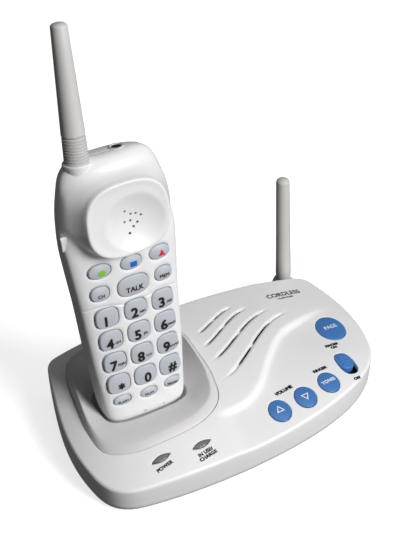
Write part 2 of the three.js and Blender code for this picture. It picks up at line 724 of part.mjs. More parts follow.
function antennaBoot() {
  const { bootRadius, bootLength, ribs } = ANTENNA;
  const profile = [[0, -8], [2.8, -8], [2.8, 0.1], [bootRadius, 0.1]];
  const pitch = bootLength / ribs;
  const groove = 0.6;
  for (let i = 0; i < ribs; i++) {
    profile.push([bootRadius - i * 0.04, 0.2 + (i + 0.7) * pitch]);
    profile.push([bootRadius - groove, 0.3 + (i + 0.8) * pitch]);
  }
  profile.push([bootRadius - groove - 0.1, bootLength + GAP], [0, bootLength + GAP]);
  return antennaPlaced(turned(profile, 12));
}

function antennaRod() {
  const low = ANTENNA.bootLength + 2 * GAP;
  const high = ANTENNA.tip - ANTENNA.seat;
  return antennaPlaced(turned([[0, low], [6.3, low], [4.3, high - 1.6], [3.4, high - 0.3], [0, high]], 16));
}

// ---------------------------------------------------------------- rear of the base

const SOCKET_Y = BASE.backY - SOCKET_RECESS;

// A block centred on x and z that reaches in from the back wall.
function jackBlock({ x, z }, width, height, front, back) {
  return toSolid(box(x - width / 2, front, z - height / 2, x + width / 2, back, z + height / 2));
}

function lineJack() {
  const block = jackBlock(LINE_JACK, LINE_JACK.width, LINE_JACK.height, SOCKET_Y - LINE_JACK.depth, SOCKET_Y);
  const { socketWidth, socketHeight } = LINE_JACK;
  const socket = jackBlock(LINE_JACK, socketWidth, socketHeight, SOCKET_Y - 11, SOCKET_Y + 2);
  return toGeometry(block.subtract(socket));
}

function powerJack() {
  const { x, z, width, height, depth, socketRadius } = POWER_JACK;
  const block = jackBlock(POWER_JACK, width, height, SOCKET_Y - depth, SOCKET_Y);
  const bore = disc(socketRadius, 0, 12, 24).rotateX(-Math.PI / 2).translate(x, SOCKET_Y - 10, z);
  return toGeometry(block.subtract(toSolid(bore)));
}

function antennaPivot() {
  const pin = BASE_ANTENNA.pinRadius;
  const bush = pin + 1.5;
  const profile = [[0, 0], [bush, 0], [bush, 6.3], [6.4, 6.3], [6.4, 8], [pin, 8], [pin, 16.6], [0, 16.6]];
  return alongBack(turned(profile, 20), BASE.backY - 6);
}

function baseAntenna() {
  const { x, y, z, length, lean, pinRadius } = BASE_ANTENNA;
  const bore = pinRadius + 0.15;
  const width = 9;
  const ring = [[bore, 0], [5.9, 0], [6.3, 0.6], [6.3, width - 0.6], [5.7, width], [bore, width], [bore, 0]];
  const knuckle = alongBack(turned(ring, 24), y - width / 2);
  const rod = turned([[0, 3.4], [4.6, 3.4], [5, 9], [4.2, length - 3], [3.6, length - 1], [2.2, length],
    [0, length + 0.1]], 18);
  const placed = rod.rotateY(lean).translate(x, y, z);
  const pinRoom = alongBack(disc(bore, -1, width + 1), y - width / 2);
  return toGeometry(toSolid(knuckle).add(toSolid(placed)).subtract(toSolid(pinRoom)));
}

// ---------------------------------------------------------------- assembly

function loudspeaker() {
  const { x, y, magnetRadius, coneRadius, low, high } = LOUDSPEAKER;
  const profile = [[0, low], [magnetRadius, low], [magnetRadius + 1, low + 5.4], [coneRadius, high - 1.6],
    [coneRadius, high], [0, high]];
  return turned(profile, 24).translate(x, y, 0);
}

function baseScrew() {
  return turned([[0, 2], [2.9, 2], [2.9, 2.7], [1.5, 2.7], [1.5, 7.4], [0, 7.8]], 12);
}

function keypadMembrane() {
  const depth = KEY.bottomDepth + 2.6;
  return box(-21.5, depth, -36.5, 21.5, depth + 1.2, 53);
}

const phone = new THREE.Group();
const handset = new THREE.Group();
handset.position.set(HANDSET.x, HANDSET.y, HANDSET.z);
handset.rotation.x = -HANDSET.tilt;
phone.add(handset);

function add(parent, name, geometry, material) {
  const mesh = new THREE.Mesh(geometry, material);
  mesh.name = name;
  parent.add(mesh);
  return mesh;
}

function addOnSurface(name, geometry, material, frame) {
  const mesh = add(phone, name, geometry, material);
  mesh.applyMatrix4(frame);
}

add(phone, 'base_top_shell', cutTopShell(), MATERIALS.body);
add(phone, 'base_bottom_shell', cutBottomShell(), MATERIALS.body);
FEET.forEach(([x, y], i) => {
  add(phone, `rubber_foot_${i + 1}`, disc(FOOT.radius, 0, FOOT.height).translate(x, y, 0), MATERIALS.rubber);
});
BASE_SCREWS.forEach(([x, y], i) => {
  add(phone, `base_screw_${i + 1}`, baseScrew().translate(x, y, 0), MATERIALS.steel);
});
add(phone, 'cradle_insert', cutCradle(), MATERIALS.cradle);
CONTACTS.xs.forEach((x, i) => add(phone, `cradle_contact_${i + 1}`, cradleContact(x), MATERIALS.contact));
add(phone, 'base_circuit_board', box(-4, -34, 9, 64, 34, 10.6), MATERIALS.board);
add(phone, 'loudspeaker', loudspeaker(), MATERIALS.cone);
for (const button of ROUND_BUTTONS) {
  addOnSurface(button.name, roundButton(button), MATERIALS.blueButton, surfaceFrame(button.x, button.y));
}
addOnSurface('ringer_switch_knob', switchKnob(), MATERIALS.blueButton, surfaceFrame(SWITCH.x, SWITCH.y));
for (const lamp of LAMPS) {
  const frame = surfaceFrame(lamp.x, lamp.y, LENS.turn);
  addOnSurface(lamp.name, prism(leafOutline(0), LENS.low, LENS.high), MATERIALS.lens, frame);
}
add(phone, 'line_jack', lineJack(), MATERIALS.socket);
add(phone, 'power_jack', powerJack(), MATERIALS.socket);
add(phone, 'antenna_pivot', antennaPivot(), MATERIALS.antenna);
add(phone, 'base_antenna', baseAntenna(), MATERIALS.antenna);

add(handset, 'handset_front_shell', cutFrontShell(), MATERIALS.body);
add(handset, 'handset_back_shell', cutBackShell(), MATERIALS.body);
add(handset, 'battery_door', batteryDoor(), MATERIALS.body);
add(handset, 'battery_pack', box(-15.5, 13.5, -22, 15.5, 24.5, 26), MATERIALS.battery);
add(handset, 'handset_circuit_board', box(-21, 8, -38, 21, 9.4, 58), MATERIALS.board);
add(handset, 'keypad_membrane', keypadMembrane(), MATERIALS.rubber);
const receiver = acrossDepth(disc(CUP.receiverRadius, -2.6, 3.5)).translate(CUP.x, 0, CUP.v);
add(handset, 'earpiece_receiver', receiver, MATERIALS.cone);
add(handset, 'microphone', acrossDepth(disc(2.6, 3, 6.4, 16)).translate(1.5, 0, -40.6), MATERIALS.steel);
CONTACTS.xs.forEach((x, i) => {
  const plate = contactBox(x, 2, 2, HANDSET_BOTTOM + 0.1, HANDSET_BOTTOM + 5.5);
  add(handset, `handset_contact_${i + 1}`, plate, MATERIALS.contact);
});
add(handset, 'headset_jack', headsetJack(), MATERIALS.socket);
add(handset, 'handset_antenna_boot', antennaBoot(), MATERIALS.antenna);
add(handset, 'handset_antenna', antennaRod(), MATERIALS.antenna);
add(handset, 'side_button', sideButton(), MATERIALS.key);
for (const key of KEYS) add(handset, key.name, keyCap(key), MATERIALS.key);

// The pieces are modelled from the middle of the base, so the whole is moved over its own middle.
const middle = new THREE.Box3().setFromObject(phone, true).getCenter(new THREE.Vector3());
for (const piece of phone.children) piece.position.sub(new THREE.Vector3(middle.x, middle.y, 0));

export default phone;
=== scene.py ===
"""Cordless telephone in its charging base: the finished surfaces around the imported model.

Shapes are worked out in millimetres in the design's own axes and moved into the frame's metres.
"""

import json
import math

import bmesh
import bpy
import numpy as np
from mathutils import Matrix, Vector
from mathutils.geometry import delaunay_2d_cdt


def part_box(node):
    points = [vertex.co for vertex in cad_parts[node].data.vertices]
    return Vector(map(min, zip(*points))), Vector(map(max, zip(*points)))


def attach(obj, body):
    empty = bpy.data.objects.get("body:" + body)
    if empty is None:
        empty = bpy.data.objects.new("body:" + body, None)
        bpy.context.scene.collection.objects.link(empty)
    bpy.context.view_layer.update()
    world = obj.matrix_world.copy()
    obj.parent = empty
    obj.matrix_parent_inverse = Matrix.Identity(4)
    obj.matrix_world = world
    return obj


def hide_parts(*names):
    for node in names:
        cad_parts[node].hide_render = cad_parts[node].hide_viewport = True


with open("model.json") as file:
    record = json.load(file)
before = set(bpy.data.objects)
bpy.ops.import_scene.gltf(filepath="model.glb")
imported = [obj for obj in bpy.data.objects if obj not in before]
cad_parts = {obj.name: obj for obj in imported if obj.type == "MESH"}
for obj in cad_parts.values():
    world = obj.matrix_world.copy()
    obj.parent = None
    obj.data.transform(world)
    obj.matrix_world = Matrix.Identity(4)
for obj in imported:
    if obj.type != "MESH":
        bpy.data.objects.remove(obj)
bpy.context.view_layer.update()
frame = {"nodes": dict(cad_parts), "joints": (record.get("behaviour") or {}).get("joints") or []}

# ---------------------------------------------------------------- driving dimensions, in millimetres

FIRST_FOOT = np.array([-80.0, -44.0])
GAP = 0.3
SEAM_GAP = 0.05
PRINT_LIFT = 0.11
WALL, BACK_WALL = 2.2, 1.8

BASE_CENTRE = np.array([0.0, -5.0])
BASE_FRONT, BASE_BACK = -63.0, 52.4
BASE_BOTTOM, BASE_PARTING = 1.3, 4.2
CROWN_BACK = {"top": 35.3, "x": -23, "drop": 13.5, "left": 79, "right": 116, "power": 2.6}
CROWN_FRONT = {"top": 20, "x": -6, "drop": 4.5, "left": 83, "right": 100, "power": 2.3}
BASE_BULGE = 2.8
RIM_RADIUS = 1.5
PANEL_EDGE = [(-25, -36.5), (-3, -35.4), (10.4, -28.4), (27.7, -11.1), (45.1, 3.3), (65.6, 11.1), (93.5, 19)]
PANEL = {"depth": 2.4, "width": 3.4, "fade_start": 0.1, "fade_end": 0.68, "reach": 42}
BASE_OUTLINE = [
    [(86.9, 52.4), (-81.1, 52.4)],
    [(-81.1, 52.4), (-86.7, 52.4), (-88.6, 46)],
    [(-88.6, 46), (-100.5, 6), (-102.7, -12), (-100.1, -33)],
    [(-100.1, -33), (-98.6, -48.5), (-92.6, -56.4), (-78.1, -59.2)],
    [(-78.1, -59.2), (-47.1, -65.2), (-1.1, -65.8), (34.9, -59)],
    [(34.9, -59), (62.9, -53.5), (83.4, -43.5), (91.9, -28)],
    [(91.9, -28), (104.4, -3), (103.4, 25), (97.3, 45)],
    [(97.3, 45), (95.5, 52.4), (86.9, 52.4)],
]

CRADLE_SEAM = [
    (-50, -39.3), (-29, -36.8), (-16, -28.5), (-10.5, -13), (-8.5, 10), (-8.5, 30), (-15, 43),
    (-45, 46), (-74, 44.5), (-82, 34), (-87, 10), (-89.9, -12), (-87.5, -28.5), (-75, -36.8),
]
WELL = {"centre": np.array([-51.4, 1.2]), "half_x": 26.2, "half_y": 17, "power": 4, "rim_z": 28.5, "floor": 2}

SLOT_STARTS = [(-8.6, -18.6), (-7, -3), (-6, 9.6), (-2.6, 21.8)]
SLOT_ENDS = [(64, 19), (53, 25), (41.5, 31.5), (32.6, 36)]
SLOT = {"handle": 0.33, "leave": 14, "arrive": 2, "half_width": 0.75, "groove": 0.85, "reach": 1.7}
SLOT_OPENINGS = [
    [(0.22, 0.44), (0.46, 0.76)],
    [(0.1, 0.485), (0.505, 0.86)],
    [(0.1, 0.485), (0.505, 0.86)],
    [(0.1, 0.485), (0.505, 0.86)],
]

PARTING_DEPTH = 11.5
FACE_BOW, KEY_PITCH = 0.72, 16.5
FRONT_POWER, BACK_POWER = (5.5, 2.25), (2.7, 2.4)
POWER_SHIFT = (56, 76)
# Up the handset: height, half width, depth of the face and depth of the back.
HANDSET_SECTIONS = [
    (-47.0, 15, 11.2, 11.9), (-46.9, 20, 2.2, 24), (-46.1, 22.4, 0.8, 26.5), (-44, 24, 0.1, 28),
    (-38, 25.2, 0, 29.3), (-25, 26.4, 0, 29.8), (-8, 27.8, 0, 30), (10, 28.8, 0, 30), (28, 29.8, 0, 29.8),
    (48, 31.5, 0, 29.2), (66, 32.7, 0, 28.2), (82, 31.7, 0, 27.4), (93, 29.5, -0.4, 26.4), (101, 27.2, 0.6, 25.3),
    (105, 24.8, 2, 24), (107.6, 21.8, 4, 22.2), (109, 18.2, 6, 20), (109.7, 13, 8.4, 17.2), (109.8, 9, 11.2, 11.9),
]
CUP = {"x": 0.3, "v": 78, "half_x": 24.6, "half_v": 21.2, "power": 2.65}
# Share of the ear cup's outline and the height of the cup there.
CUP_PROFILE = [
    (0, 7.5), (0.6, 7.5), (0.8, 7.7), (0.88, 8.0), (0.93, 8.15), (0.965, 7.6), (0.99, 6), (1.01, 3.8),
    (1.04, 0.5), (1.09, -4), (1.2, -12), (1.4, -16),
]
FLANK_EASING, RIM_HOLD = 0.4, 4.5
DISH = {"x": 3.6, "v": 75.2, "half_x": 17.2, "half_v": 15.9, "depth": 3.6, "power": 1.1}
EAR_CENTRE = (2.4, 75)
EAR_HOLES = [(0, 0), (-2.8, 6.3), (0.6, 3.6), (3.4, 3.2), (-3.5, 0.2), (1.3, -3.7), (-1.5, -6.6), (3.8, -1.9),
             (6.2, 1.6)]
EAR_HOLE_RADIUS = 0.7
MIC_SLOTS = [(-4.3, -43.8), (7.4, -43.8)]
DOOR = {"half_x": 20, "low": -26, "high": 30}


# ---------------------------------------------------------------- numbers and outlines

def smooth(t):
    s = np.clip(t, 0, 1)
    return s * s * (3 - 2 * s)


def fillet(distance, radius):
    """How far a rounded edge has dropped at a distance from the edge."""
    gap = np.clip(radius - distance, 0, radius)
    return radius - np.sqrt(radius ** 2 - gap ** 2)


def resample(points, count, closed):
    """The same line with evenly spaced points."""
    line = np.vstack([points, points[:1]]) if closed else np.asarray(points, float)
    steps = np.linalg.norm(np.diff(line, axis=0), axis=1)
    length = np.concatenate([[0], np.cumsum(steps)])
    stops = np.linspace(0, length[-1], count + closed)[:count]
    return np.column_stack([np.interp(stops, length, line[:, k]) for k in range(line.shape[1])])


def spline(points, count, closed=False):
    """A centripetal Catmull-Rom line through the points."""
    pts = np.asarray(points, float)
    if closed:
        held = np.vstack([pts[-1:], pts, pts[:2]])
    else:
        held = np.vstack([2 * pts[:1] - pts[1:2], pts, 2 * pts[-1:] - pts[-2:-1]])
    pieces = []
    for a, b, c, d in zip(held, held[1:], held[2:], held[3:]):
        knot_b = np.linalg.norm(b - a) ** 0.5
        knot_c = knot_b + np.linalg.norm(c - b) ** 0.5
        knot_d = knot_c + np.linalg.norm(d - c) ** 0.5
        t = np.linspace(knot_b, knot_c, 24, endpoint=False)[:, None]
        ab = (knot_b - t) / knot_b * a + t / knot_b * b
        bc = ((knot_c - t) * b + (t - knot_b) * c) / (knot_c - knot_b)
        cd = ((knot_d - t) * c + (t - knot_c) * d) / (knot_d - knot_c)
        abc = ((knot_c - t) * ab + t * bc) / knot_c
        bcd = ((knot_d - t) * bc + (t - knot_b) * cd) / (knot_d - knot_b)
        pieces.append(((knot_c - t) * abc + (t - knot_b) * bcd) / (knot_c - knot_b))
    if not closed:
        pieces.append(pts[-1:])
    return resample(np.vstack(pieces), count, closed)


def bezier(controls, count=60):
    t = np.linspace(0, 1, count, endpoint=False)[:, None]
    points = [np.asarray(c, float) for c in controls]
    while len(points) > 1:
        points = [(1 - t) * a + t * b for a, b in zip(points, points[1:])]
    return points[0]


def superellipse(half_x, half_y, power, count):
    angle = 2 * np.pi * (np.arange(count) + 0.5) / count
    way = np.column_stack([np.cos(angle), np.sin(angle)])
    reach = (np.abs(way[:, 0] / half_x) ** power + np.abs(way[:, 1] / half_y) ** power) ** (-1 / power)
    return way * reach[:, None]


def inset(loop, distance):
    """A counter-clockwise loop moved inwards."""
    along = np.roll(loop, -1, axis=0) - np.roll(loop, 1, axis=0)
    along /= np.linalg.norm(along, axis=1)[:, None]
    return loop + distance * np.column_stack([-along[:, 1], along[:, 0]])


def nearest(points, line, closed):
    """Distance from each point to the line, which side it is on, and its share of the line."""
    start = line if closed else line[:-1]
    step = (np.roll(line, -1, axis=0) if closed else line[1:]) - start
    best = np.full(len(points), np.inf)
    side = np.ones(len(points))
    along = np.zeros(len(points))
    for i, (a, d) in enumerate(zip(start, step)):
        w = points - a
        t = np.clip((w @ d) / (d @ d), 0, 1)
        gap = np.hypot(w[:, 0] - t * d[0], w[:, 1] - t * d[1])
        closer = gap < best
        best[closer] = gap[closer]
        side[closer] = np.sign(w[closer, 0] * d[1] - w[closer, 1] * d[0])
        along[closer] = (i + t[closer]) / len(start)
    return best, side, along


def inside(points, loop):
    """Which points a closed loop holds."""
    held = np.zeros(len(points), bool)
    near = np.all((points >= loop.min(0)) & (points <= loop.max(0)), axis=1)
    x, y = points[near, 0], points[near, 1]
    crossed = np.zeros(len(x), bool)
    for (ax, ay), (bx, by) in zip(loop, np.roll(loop, -1, axis=0)):
        spans = (ay > y) != (by > y)
        if ay != by:
            crossed ^= spans & (x < (bx - ax) * (y - ay) / (by - ay) + ax)
    held[near] = crossed
    return held


def grid(low, high, pitch):
    """Points in a triangular pattern over a rectangle."""
    rows = []
    for k, y in enumerate(np.arange(low[1], high[1], pitch * 0.87)):
        x = np.arange(low[0] + pitch * 0.5 * (k % 2), high[0], pitch)
        rows.append(np.column_stack([x, np.full(len(x), y)]))
    return np.vstack(rows)


def clear_of(points, loops, margin):
    """The points that keep a margin to every loop."""
    for loop in loops:
        box = np.all((points > loop.min(0) - margin) & (points < loop.max(0) + margin), axis=1)
        keep = np.ones(len(points), bool)
        keep[box] = nearest(points[box], loop, True)[0] > margin
        points = points[keep]
    return points


# ---------------------------------------------------------------- meshes

FOOT_LOW, FOOT_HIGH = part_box("rubber_foot_1")
FOOT_PLACE = np.array((FOOT_LOW + FOOT_HIGH) / 2)[:2] * 1000
SHIFT = np.append(FOOT_PLACE - FIRST_FOOT, 0)


def to_metres(points):
    return (np.asarray(points) + SHIFT) / 1000


def moved(points, matrix):
    return np.asarray(points) @ matrix[:3, :3].T + matrix[:3, 3]


def piece(name, points, faces, material, body, replaces=(), crease=38):
    """A mesh of the given points, in design millimetres, that rides on a body."""
    mesh = bpy.data.meshes.new(name)
    mesh.from_pydata([tuple(p) for p in to_metres(points)], [], [tuple(f) for f in faces])
    work = bmesh.new()
    work.from_mesh(mesh)
    bmesh.ops.delete(work, geom=[v for v in work.verts if not v.link_faces], context="VERTS")
    bmesh.ops.recalc_face_normals(work, faces=work.faces)
    work.to_mesh(mesh)
    work.free()
    mesh.shade_smooth()
    mesh.set_sharp_from_angle(angle=math.radians(crease))
    mesh.materials.append(material)
    thing = bpy.data.objects.new(name, mesh)
    bpy.context.scene.collection.objects.link(thing)
    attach(thing, body)
    if replaces:
        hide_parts(*replaces)
    return thing


def strip(first, second, count):
    """Quads between two loops whose points start at the given indices."""
    turn = [(i, (i + 1) % count) for i in range(count)]
    return [(first + i, first + j, second + j, second + i) for i, j in turn]


def skin(rings):
    """A closed body through rings with equal point counts."""
    count = len(rings[0])
    points = np.vstack([*rings, rings[0].mean(0)[None], rings[-1].mean(0)[None]])
    faces = []
    for k in range(len(rings) - 1):
        faces += strip(k * count, (k + 1) * count, count)
    first, last = len(points) - 2, len(points) - 1
    top = (len(rings) - 1) * count
    for i in range(count):
        j = (i + 1) % count
        faces += [(first, j, i), (last, top + i, top + j)]
    return points, faces


def joined(*bodies):
    """Several point and face lists as one."""
    points, faces, start = [], [], 0
    for some_points, some_faces in bodies:
        points.append(some_points)
        faces += [tuple(start + i for i in face) for face in some_faces]
        start += len(some_points)
    return np.vstack(points), faces


def lathe(profile, sides=64):
    """A turned body along +Z; the profile runs from the axis back to the axis."""
    angle = 2 * np.pi * np.arange(sides) / sides
    ring = np.column_stack([np.cos(angle), np.sin(angle)])
    held = [(r, z) for r, z in profile if r > 0]
    rings = [np.column_stack([ring * r, np.full(sides, z)]) for r, z in held]
    points, faces = skin(rings)
    points[-2] = (0, 0, profile[0][1])
    points[-1] = (0, 0, profile[-1][1])
    return points, faces


def pillow(outline, low, high, radius, dome):
    """A cap with a rounded edge and a domed top, around the origin."""
    count = len(outline)
    rings = [(0, low), (0, high - radius)]
    for angle in np.radians([18, 36, 54, 72, 90]):
        rings.append((radius * (1 - math.cos(angle)), high - radius * (1 - math.sin(angle))))
    shaped = [np.column_stack([inset(outline, d), np.full(count, z)]) for d, z in rings]
    shoulder = inset(outline, radius)
    for factor in (0.85, 0.65, 0.4, 0.15):
        height = high + dome * (1 - factor ** 2)
        shaped.append(np.column_stack([shoulder * factor, np.full(count, height)]))
    return skin(shaped)


def triangulate(outline, holes, free):
    """Plan points and the triangles inside the outline and outside the holes."""
    points = np.vstack([outline, *holes, free])
    edges = []
    start = 0
    for loop in [outline, *holes]:
        edges += [(start + i, start + (i + 1) % len(loop)) for i in range(len(loop))]
        start += len(loop)
    found = delaunay_2d_cdt([Vector(p) for p in points], edges, [], 0, 1e-6)
    source = [origins[0] if origins else -1 for origins in found[3]]
    faces = np.array([[source[i] for i in face] for face in found[2]])
    faces = faces[(faces >= 0).all(axis=1)]
    middle = points[faces].mean(axis=1)
    keep = inside(middle, outline)
    for hole in holes:
        keep &= ~inside(middle, hole)
    return points, faces[keep]


def point_normals(points, faces):
    normals = np.zeros_like(points)
    a, b, c = (points[faces[:, k]] for k in range(3))
    face_normals = np.cross(b - a, c - a)
    for k in range(3):
        np.add.at(normals, faces[:, k], face_normals)
    lengths = np.linalg.norm(normals, axis=1)
    return normals / np.maximum(lengths, 1e-9)[:, None]


def plate(outline, holes, fine, coarse, shaped, plain, thickness, under=None, edge=()):
    """A closed moulding: its face follows shaped(), its inside lies a wall's thickness under plain()."""
    top_plan, top_faces = triangulate(outline, holes, fine)
    under_outline = outline if under is None else under
    low_plan, low_faces = triangulate(under_outline, holes, coarse)
    surface = plain(low_plan)
    low = surface - thickness * point_normals(surface, low_faces)
    top = shaped(top_plan)
    points = np.vstack([top, low, *edge])
    under_start = len(top)
    faces = [tuple(f) for f in top_faces] + [tuple(under_start + i for i in f[::-1]) for f in low_faces]
    start = len(outline)
    for hole in holes:
        faces += strip(start, under_start + start, len(hole))
        start += len(hole)
    ring_starts = [0]
    ring_starts += [len(top) + len(low) + k * len(outline) for k in range(len(edge))]
    ring_starts.append(under_start)
    for above, below in zip(ring_starts, ring_starts[1:]):
        faces += strip(above, below, len(outline))
    return points, faces


# ---------------------------------------------------------------- materials

def nodes_of(name):
    material = bpy.data.materials.new(name)
    material.use_nodes = True
    tree = material.node_tree
    return material, tree, tree.nodes["Principled BSDF"]


def noise(tree, scale, detail, distortion=0.0):
    place = tree.nodes.new("ShaderNodeTexCoord")
    texture = tree.nodes.new("ShaderNodeTexNoise")
    texture.inputs["Scale"].default_value = scale
    texture.inputs["Detail"].default_value = detail
    texture.inputs["Distortion"].default_value = distortion
    tree.links.new(place.outputs["Object"], texture.inputs["Vector"])
    return texture.outputs["Fac"]


def ramp(tree, source, low, high):
    """Colours between two shades, led by a texture."""
    colours = tree.nodes.new("ShaderNodeValToRGB")
    colours.color_ramp.elements[0].position = 0.3
    colours.color_ramp.elements[1].position = 0.7
    colours.color_ramp.elements[0].color = (*low, 1)
    colours.color_ramp.elements[1].color = (*high, 1)
    tree.links.new(source, colours.inputs["Fac"])
    return colours.outputs["Color"]


def spread(tree, source, low, high):
    """A number between two limits, led by a texture."""
    limits = tree.nodes.new("ShaderNodeMapRange")
    limits.inputs["To Min"].default_value = low
    limits.inputs["To Max"].default_value = high
    tree.links.new(source, limits.inputs["Value"])
    return limits.outputs["Result"]


def bump(tree, bsdf, source, strength, distance):
    node = tree.nodes.new("ShaderNodeBump")
    node.inputs["Strength"].default_value = strength
    node.inputs["Distance"].default_value = distance
    tree.links.new(source, node.inputs["Height"])
    tree.links.new(node.outputs["Normal"], bsdf.inputs["Normal"])


def srgb(red, green, blue):
    """Scene values of a colour given in 0 to 255."""
    return tuple(((c / 255 + 0.055) / 1.055) ** 2.4 if c > 10 else c / 255 / 12.92 for c in (red, green, blue))


def finish(name, colour, rough, variation=0.03, grain=2600, relief=0.15, metallic=0.0, coat=0.0, sheen=0.0):
    """Moulded or drawn material: fine grain, a slow drift of shade and an uneven polish."""
    material, tree, bsdf = nodes_of(name)
    low = tuple(c * (1 - variation) for c in colour)
    high = tuple(min(1, c * (1 + variation)) for c in colour)
    tree.links.new(ramp(tree, noise(tree, 34, 3), low, high), bsdf.inputs["Base Color"])
    polish = spread(tree, noise(tree, 120, 4), rough - 0.04, rough + 0.05)
    tree.links.new(polish, bsdf.inputs["Roughness"])
    bump(tree, bsdf, noise(tree, grain, 2), relief, 0.00002)
    bsdf.inputs["Metallic"].default_value = metallic
    bsdf.inputs["Coat Weight"].default_value = coat
    bsdf.inputs["Sheen Weight"].default_value = sheen
    return material


def banded(name, colour, rough, bands):
    """A material with fine turned or laminated lines along its depth."""
    material, tree, bsdf = nodes_of(name)
    place = tree.nodes.new("ShaderNodeTexCoord")
    wave = tree.nodes.new("ShaderNodeTexWave")
    wave.bands_direction = "Z"
    wave.inputs["Scale"].default_value = bands
    tree.links.new(place.outputs["Object"], wave.inputs["Vector"])
    low = tuple(c * 0.93 for c in colour)
    tree.links.new(ramp(tree, wave.outputs["Fac"], low, colour), bsdf.inputs["Base Color"])
    bsdf.inputs["Roughness"].default_value = rough
    bump(tree, bsdf, wave.outputs["Fac"], 0.1, 0.00002)
    return material


WHITE = finish("shell_white", srgb(232, 232, 233), 0.36, 0.012)
BASE_WHITE = finish("base_white", srgb(239, 239, 240), 0.4, 0.012)
CRADLE_WHITE = finish("cradle_white", srgb(216, 214, 215), 0.4, 0.012)
KEY_GREY = finish("key_grey", srgb(184, 188, 195), 0.42, 0.02, 3600, 0.1)
BUTTON_BLUE = finish("button_blue", srgb(70, 124, 190), 0.34, 0.03, coat=0.25)
ANTENNA_GREY = finish("antenna_grey", srgb(200, 199, 197), 0.5, 0.03, 1800, 0.2)
STUB_GREY = finish("stub_grey", srgb(204, 202, 197), 0.52, 0.03, 1800, 0.2)
LENS_SMOKE = finish("lens_smoke", srgb(98, 100, 102), 0.16, 0.06, 900, 0.05, coat=0.6)
SOCKET_BLACK = finish("socket_black", srgb(34, 34, 37), 0.5, 0.06)
BUTTON_WHITE = finish("button_white", srgb(222, 222, 223), 0.4, 0.02)
JACK_GREY = finish("jack_grey", srgb(205, 204, 203), 0.4, 0.03)
FOOT_RUBBER = finish("foot_rubber", srgb(52, 52, 54), 0.85, 0.08, 900, 0.4, sheen=0.2)
BOARD_GREEN = finish("board_green", srgb(44, 104, 68), 0.5, 0.12, 700, 0.3)
BATTERY_WRAP = finish("battery_wrap", srgb(60, 92, 160), 0.42, 0.08, 500, 0.2, coat=0.3)
CONTACT_GOLD = finish("contact_gold", srgb(206, 184, 120), 0.28, 0.05, 1500, 0.1, metallic=1.0)
PLAIN_STEEL = finish("plain_steel", srgb(176, 178, 180), 0.32, 0.05, 1500, 0.15, metallic=1.0)
CONE_BLACK = banded("speaker_cone", srgb(44, 44, 46), 0.7, 900)
INK_BLACK = finish("ink_black", srgb(16, 16, 18), 0.55, 0.1, 3000, 0.05)
INK_WHITE = finish("ink_white", srgb(240, 243, 248), 0.5, 0.02, 3000, 0.05)
MARK_GREEN = finish("mark_green", srgb(128, 196, 66), 0.5, 0.03, 3000, 0.05)
MARK_BLUE = finish("mark_blue", srgb(28, 104, 200), 0.5, 0.03, 3000, 0.05)
MARK_RED = finish("mark_red", srgb(214, 44, 62), 0.5, 0.03, 3000, 0.05)


# ---------------------------------------------------------------- shape of the base's top

def crown(x, shape):
    half = np.where(x < shape["x"], shape["left"], shape["right"])
    return shape["top"] - shape["drop"] * (np.abs(x - shape["x"]) / half) ** shape["power"]


PANEL_LINE = spline(PANEL_EDGE, 60)


def panel_drop(points):
    distance, side, along = nearest(points, PANEL_LINE, False)
    ends = smooth(along / PANEL["fade_start"])
    ends *= 1 - smooth((along - PANEL["fade_end"]) / (1 - PANEL["fade_end"]))
    away = 1 - smooth((distance - PANEL["width"]) / PANEL["reach"])
    step = PANEL["depth"] * ends * away * smooth(distance / PANEL["width"])
    return np.where(side < 0, 0, step)


def top_height(points):
    """Height of the base's top over plan points."""
    points = np.asarray(points, float).reshape(-1, 2)
    x, y = points[:, 0], points[:, 1]
    t = np.clip((y - BASE_FRONT) / (BASE_BACK - BASE_FRONT), 0, 1)
    front = crown(x, CROWN_FRONT)
    climb = (crown(x, CROWN_BACK) - front) * (1 - (1 - t) ** BASE_BULGE)
    return front + climb - panel_drop(points)


def on_top(plan, lift=0.0):
    return np.column_stack([plan, top_height(plan) + lift])


def surface_frame(place, turn=0.0):
    """Axes on the top surface: z along its normal, y up the slope, then turned about z."""
    x, y = place
    right, left, back, front = top_height([(x + 1, y), (x - 1, y), (x, y + 1), (x, y - 1)])
    across = np.array([1, 0, (right - left) / 2])
    across /= np.linalg.norm(across)
    normal = np.array([-(right - left) / 2, -(back - front) / 2, 1])
    normal /= np.linalg.norm(normal)
    up = np.cross(normal, across)
    cos, sin = math.cos(turn), math.sin(turn)
    matrix = np.eye(4)
    matrix[:3, :3] = np.column_stack([across * cos + up * sin, up * cos - across * sin, normal])
    matrix[:3, 3] = (x, y, top_height([(x, y)])[0])
    return matrix


def surface_place(node, middle):
    """The place on the top of a control whose own middle lies at the given height."""
    low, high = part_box(node)
    centre = np.array((low + high) / 2) * 1000 - SHIFT
    normal = surface_frame(centre[:2])[:3, 2]
    return centre[:2] - middle * normal[:2]


# ---------------------------------------------------------------- base

OUTLINE = resample(np.vstack([bezier(part) for part in BASE_OUTLINE]), 300, True)
SEAM = spline(CRADLE_SEAM, 200, True)
BUTTONS = {
    name: {"place": surface_place(name, -1.85), "half_x": half_x, "half_y": half_y, "turn": math.radians(turn)}
    for name, half_x, half_y, turn in [("page_button", 9.2, 11.2, -24), ("ringer_tone_button", 6.3, 7.5, -12),
                                       ("volume_down_button", 6.4, 7.5, -12), ("volume_up_button", 6.4, 7.5, -12)]
}
SWITCH_OFFSET = 2.05
SWITCH_KNOB = surface_place("ringer_switch_knob", -1.55)
SWITCH_PLACE = SWITCH_KNOB - np.array([0, SWITCH_OFFSET])
LAMPS = {name: surface_place(name, -1.55) for name in ("power_lamp_lens", "in_use_lamp_lens")}
LAMP_TURN = 0.1
LEAF = {"half": 5.9, "bow": 3.7}


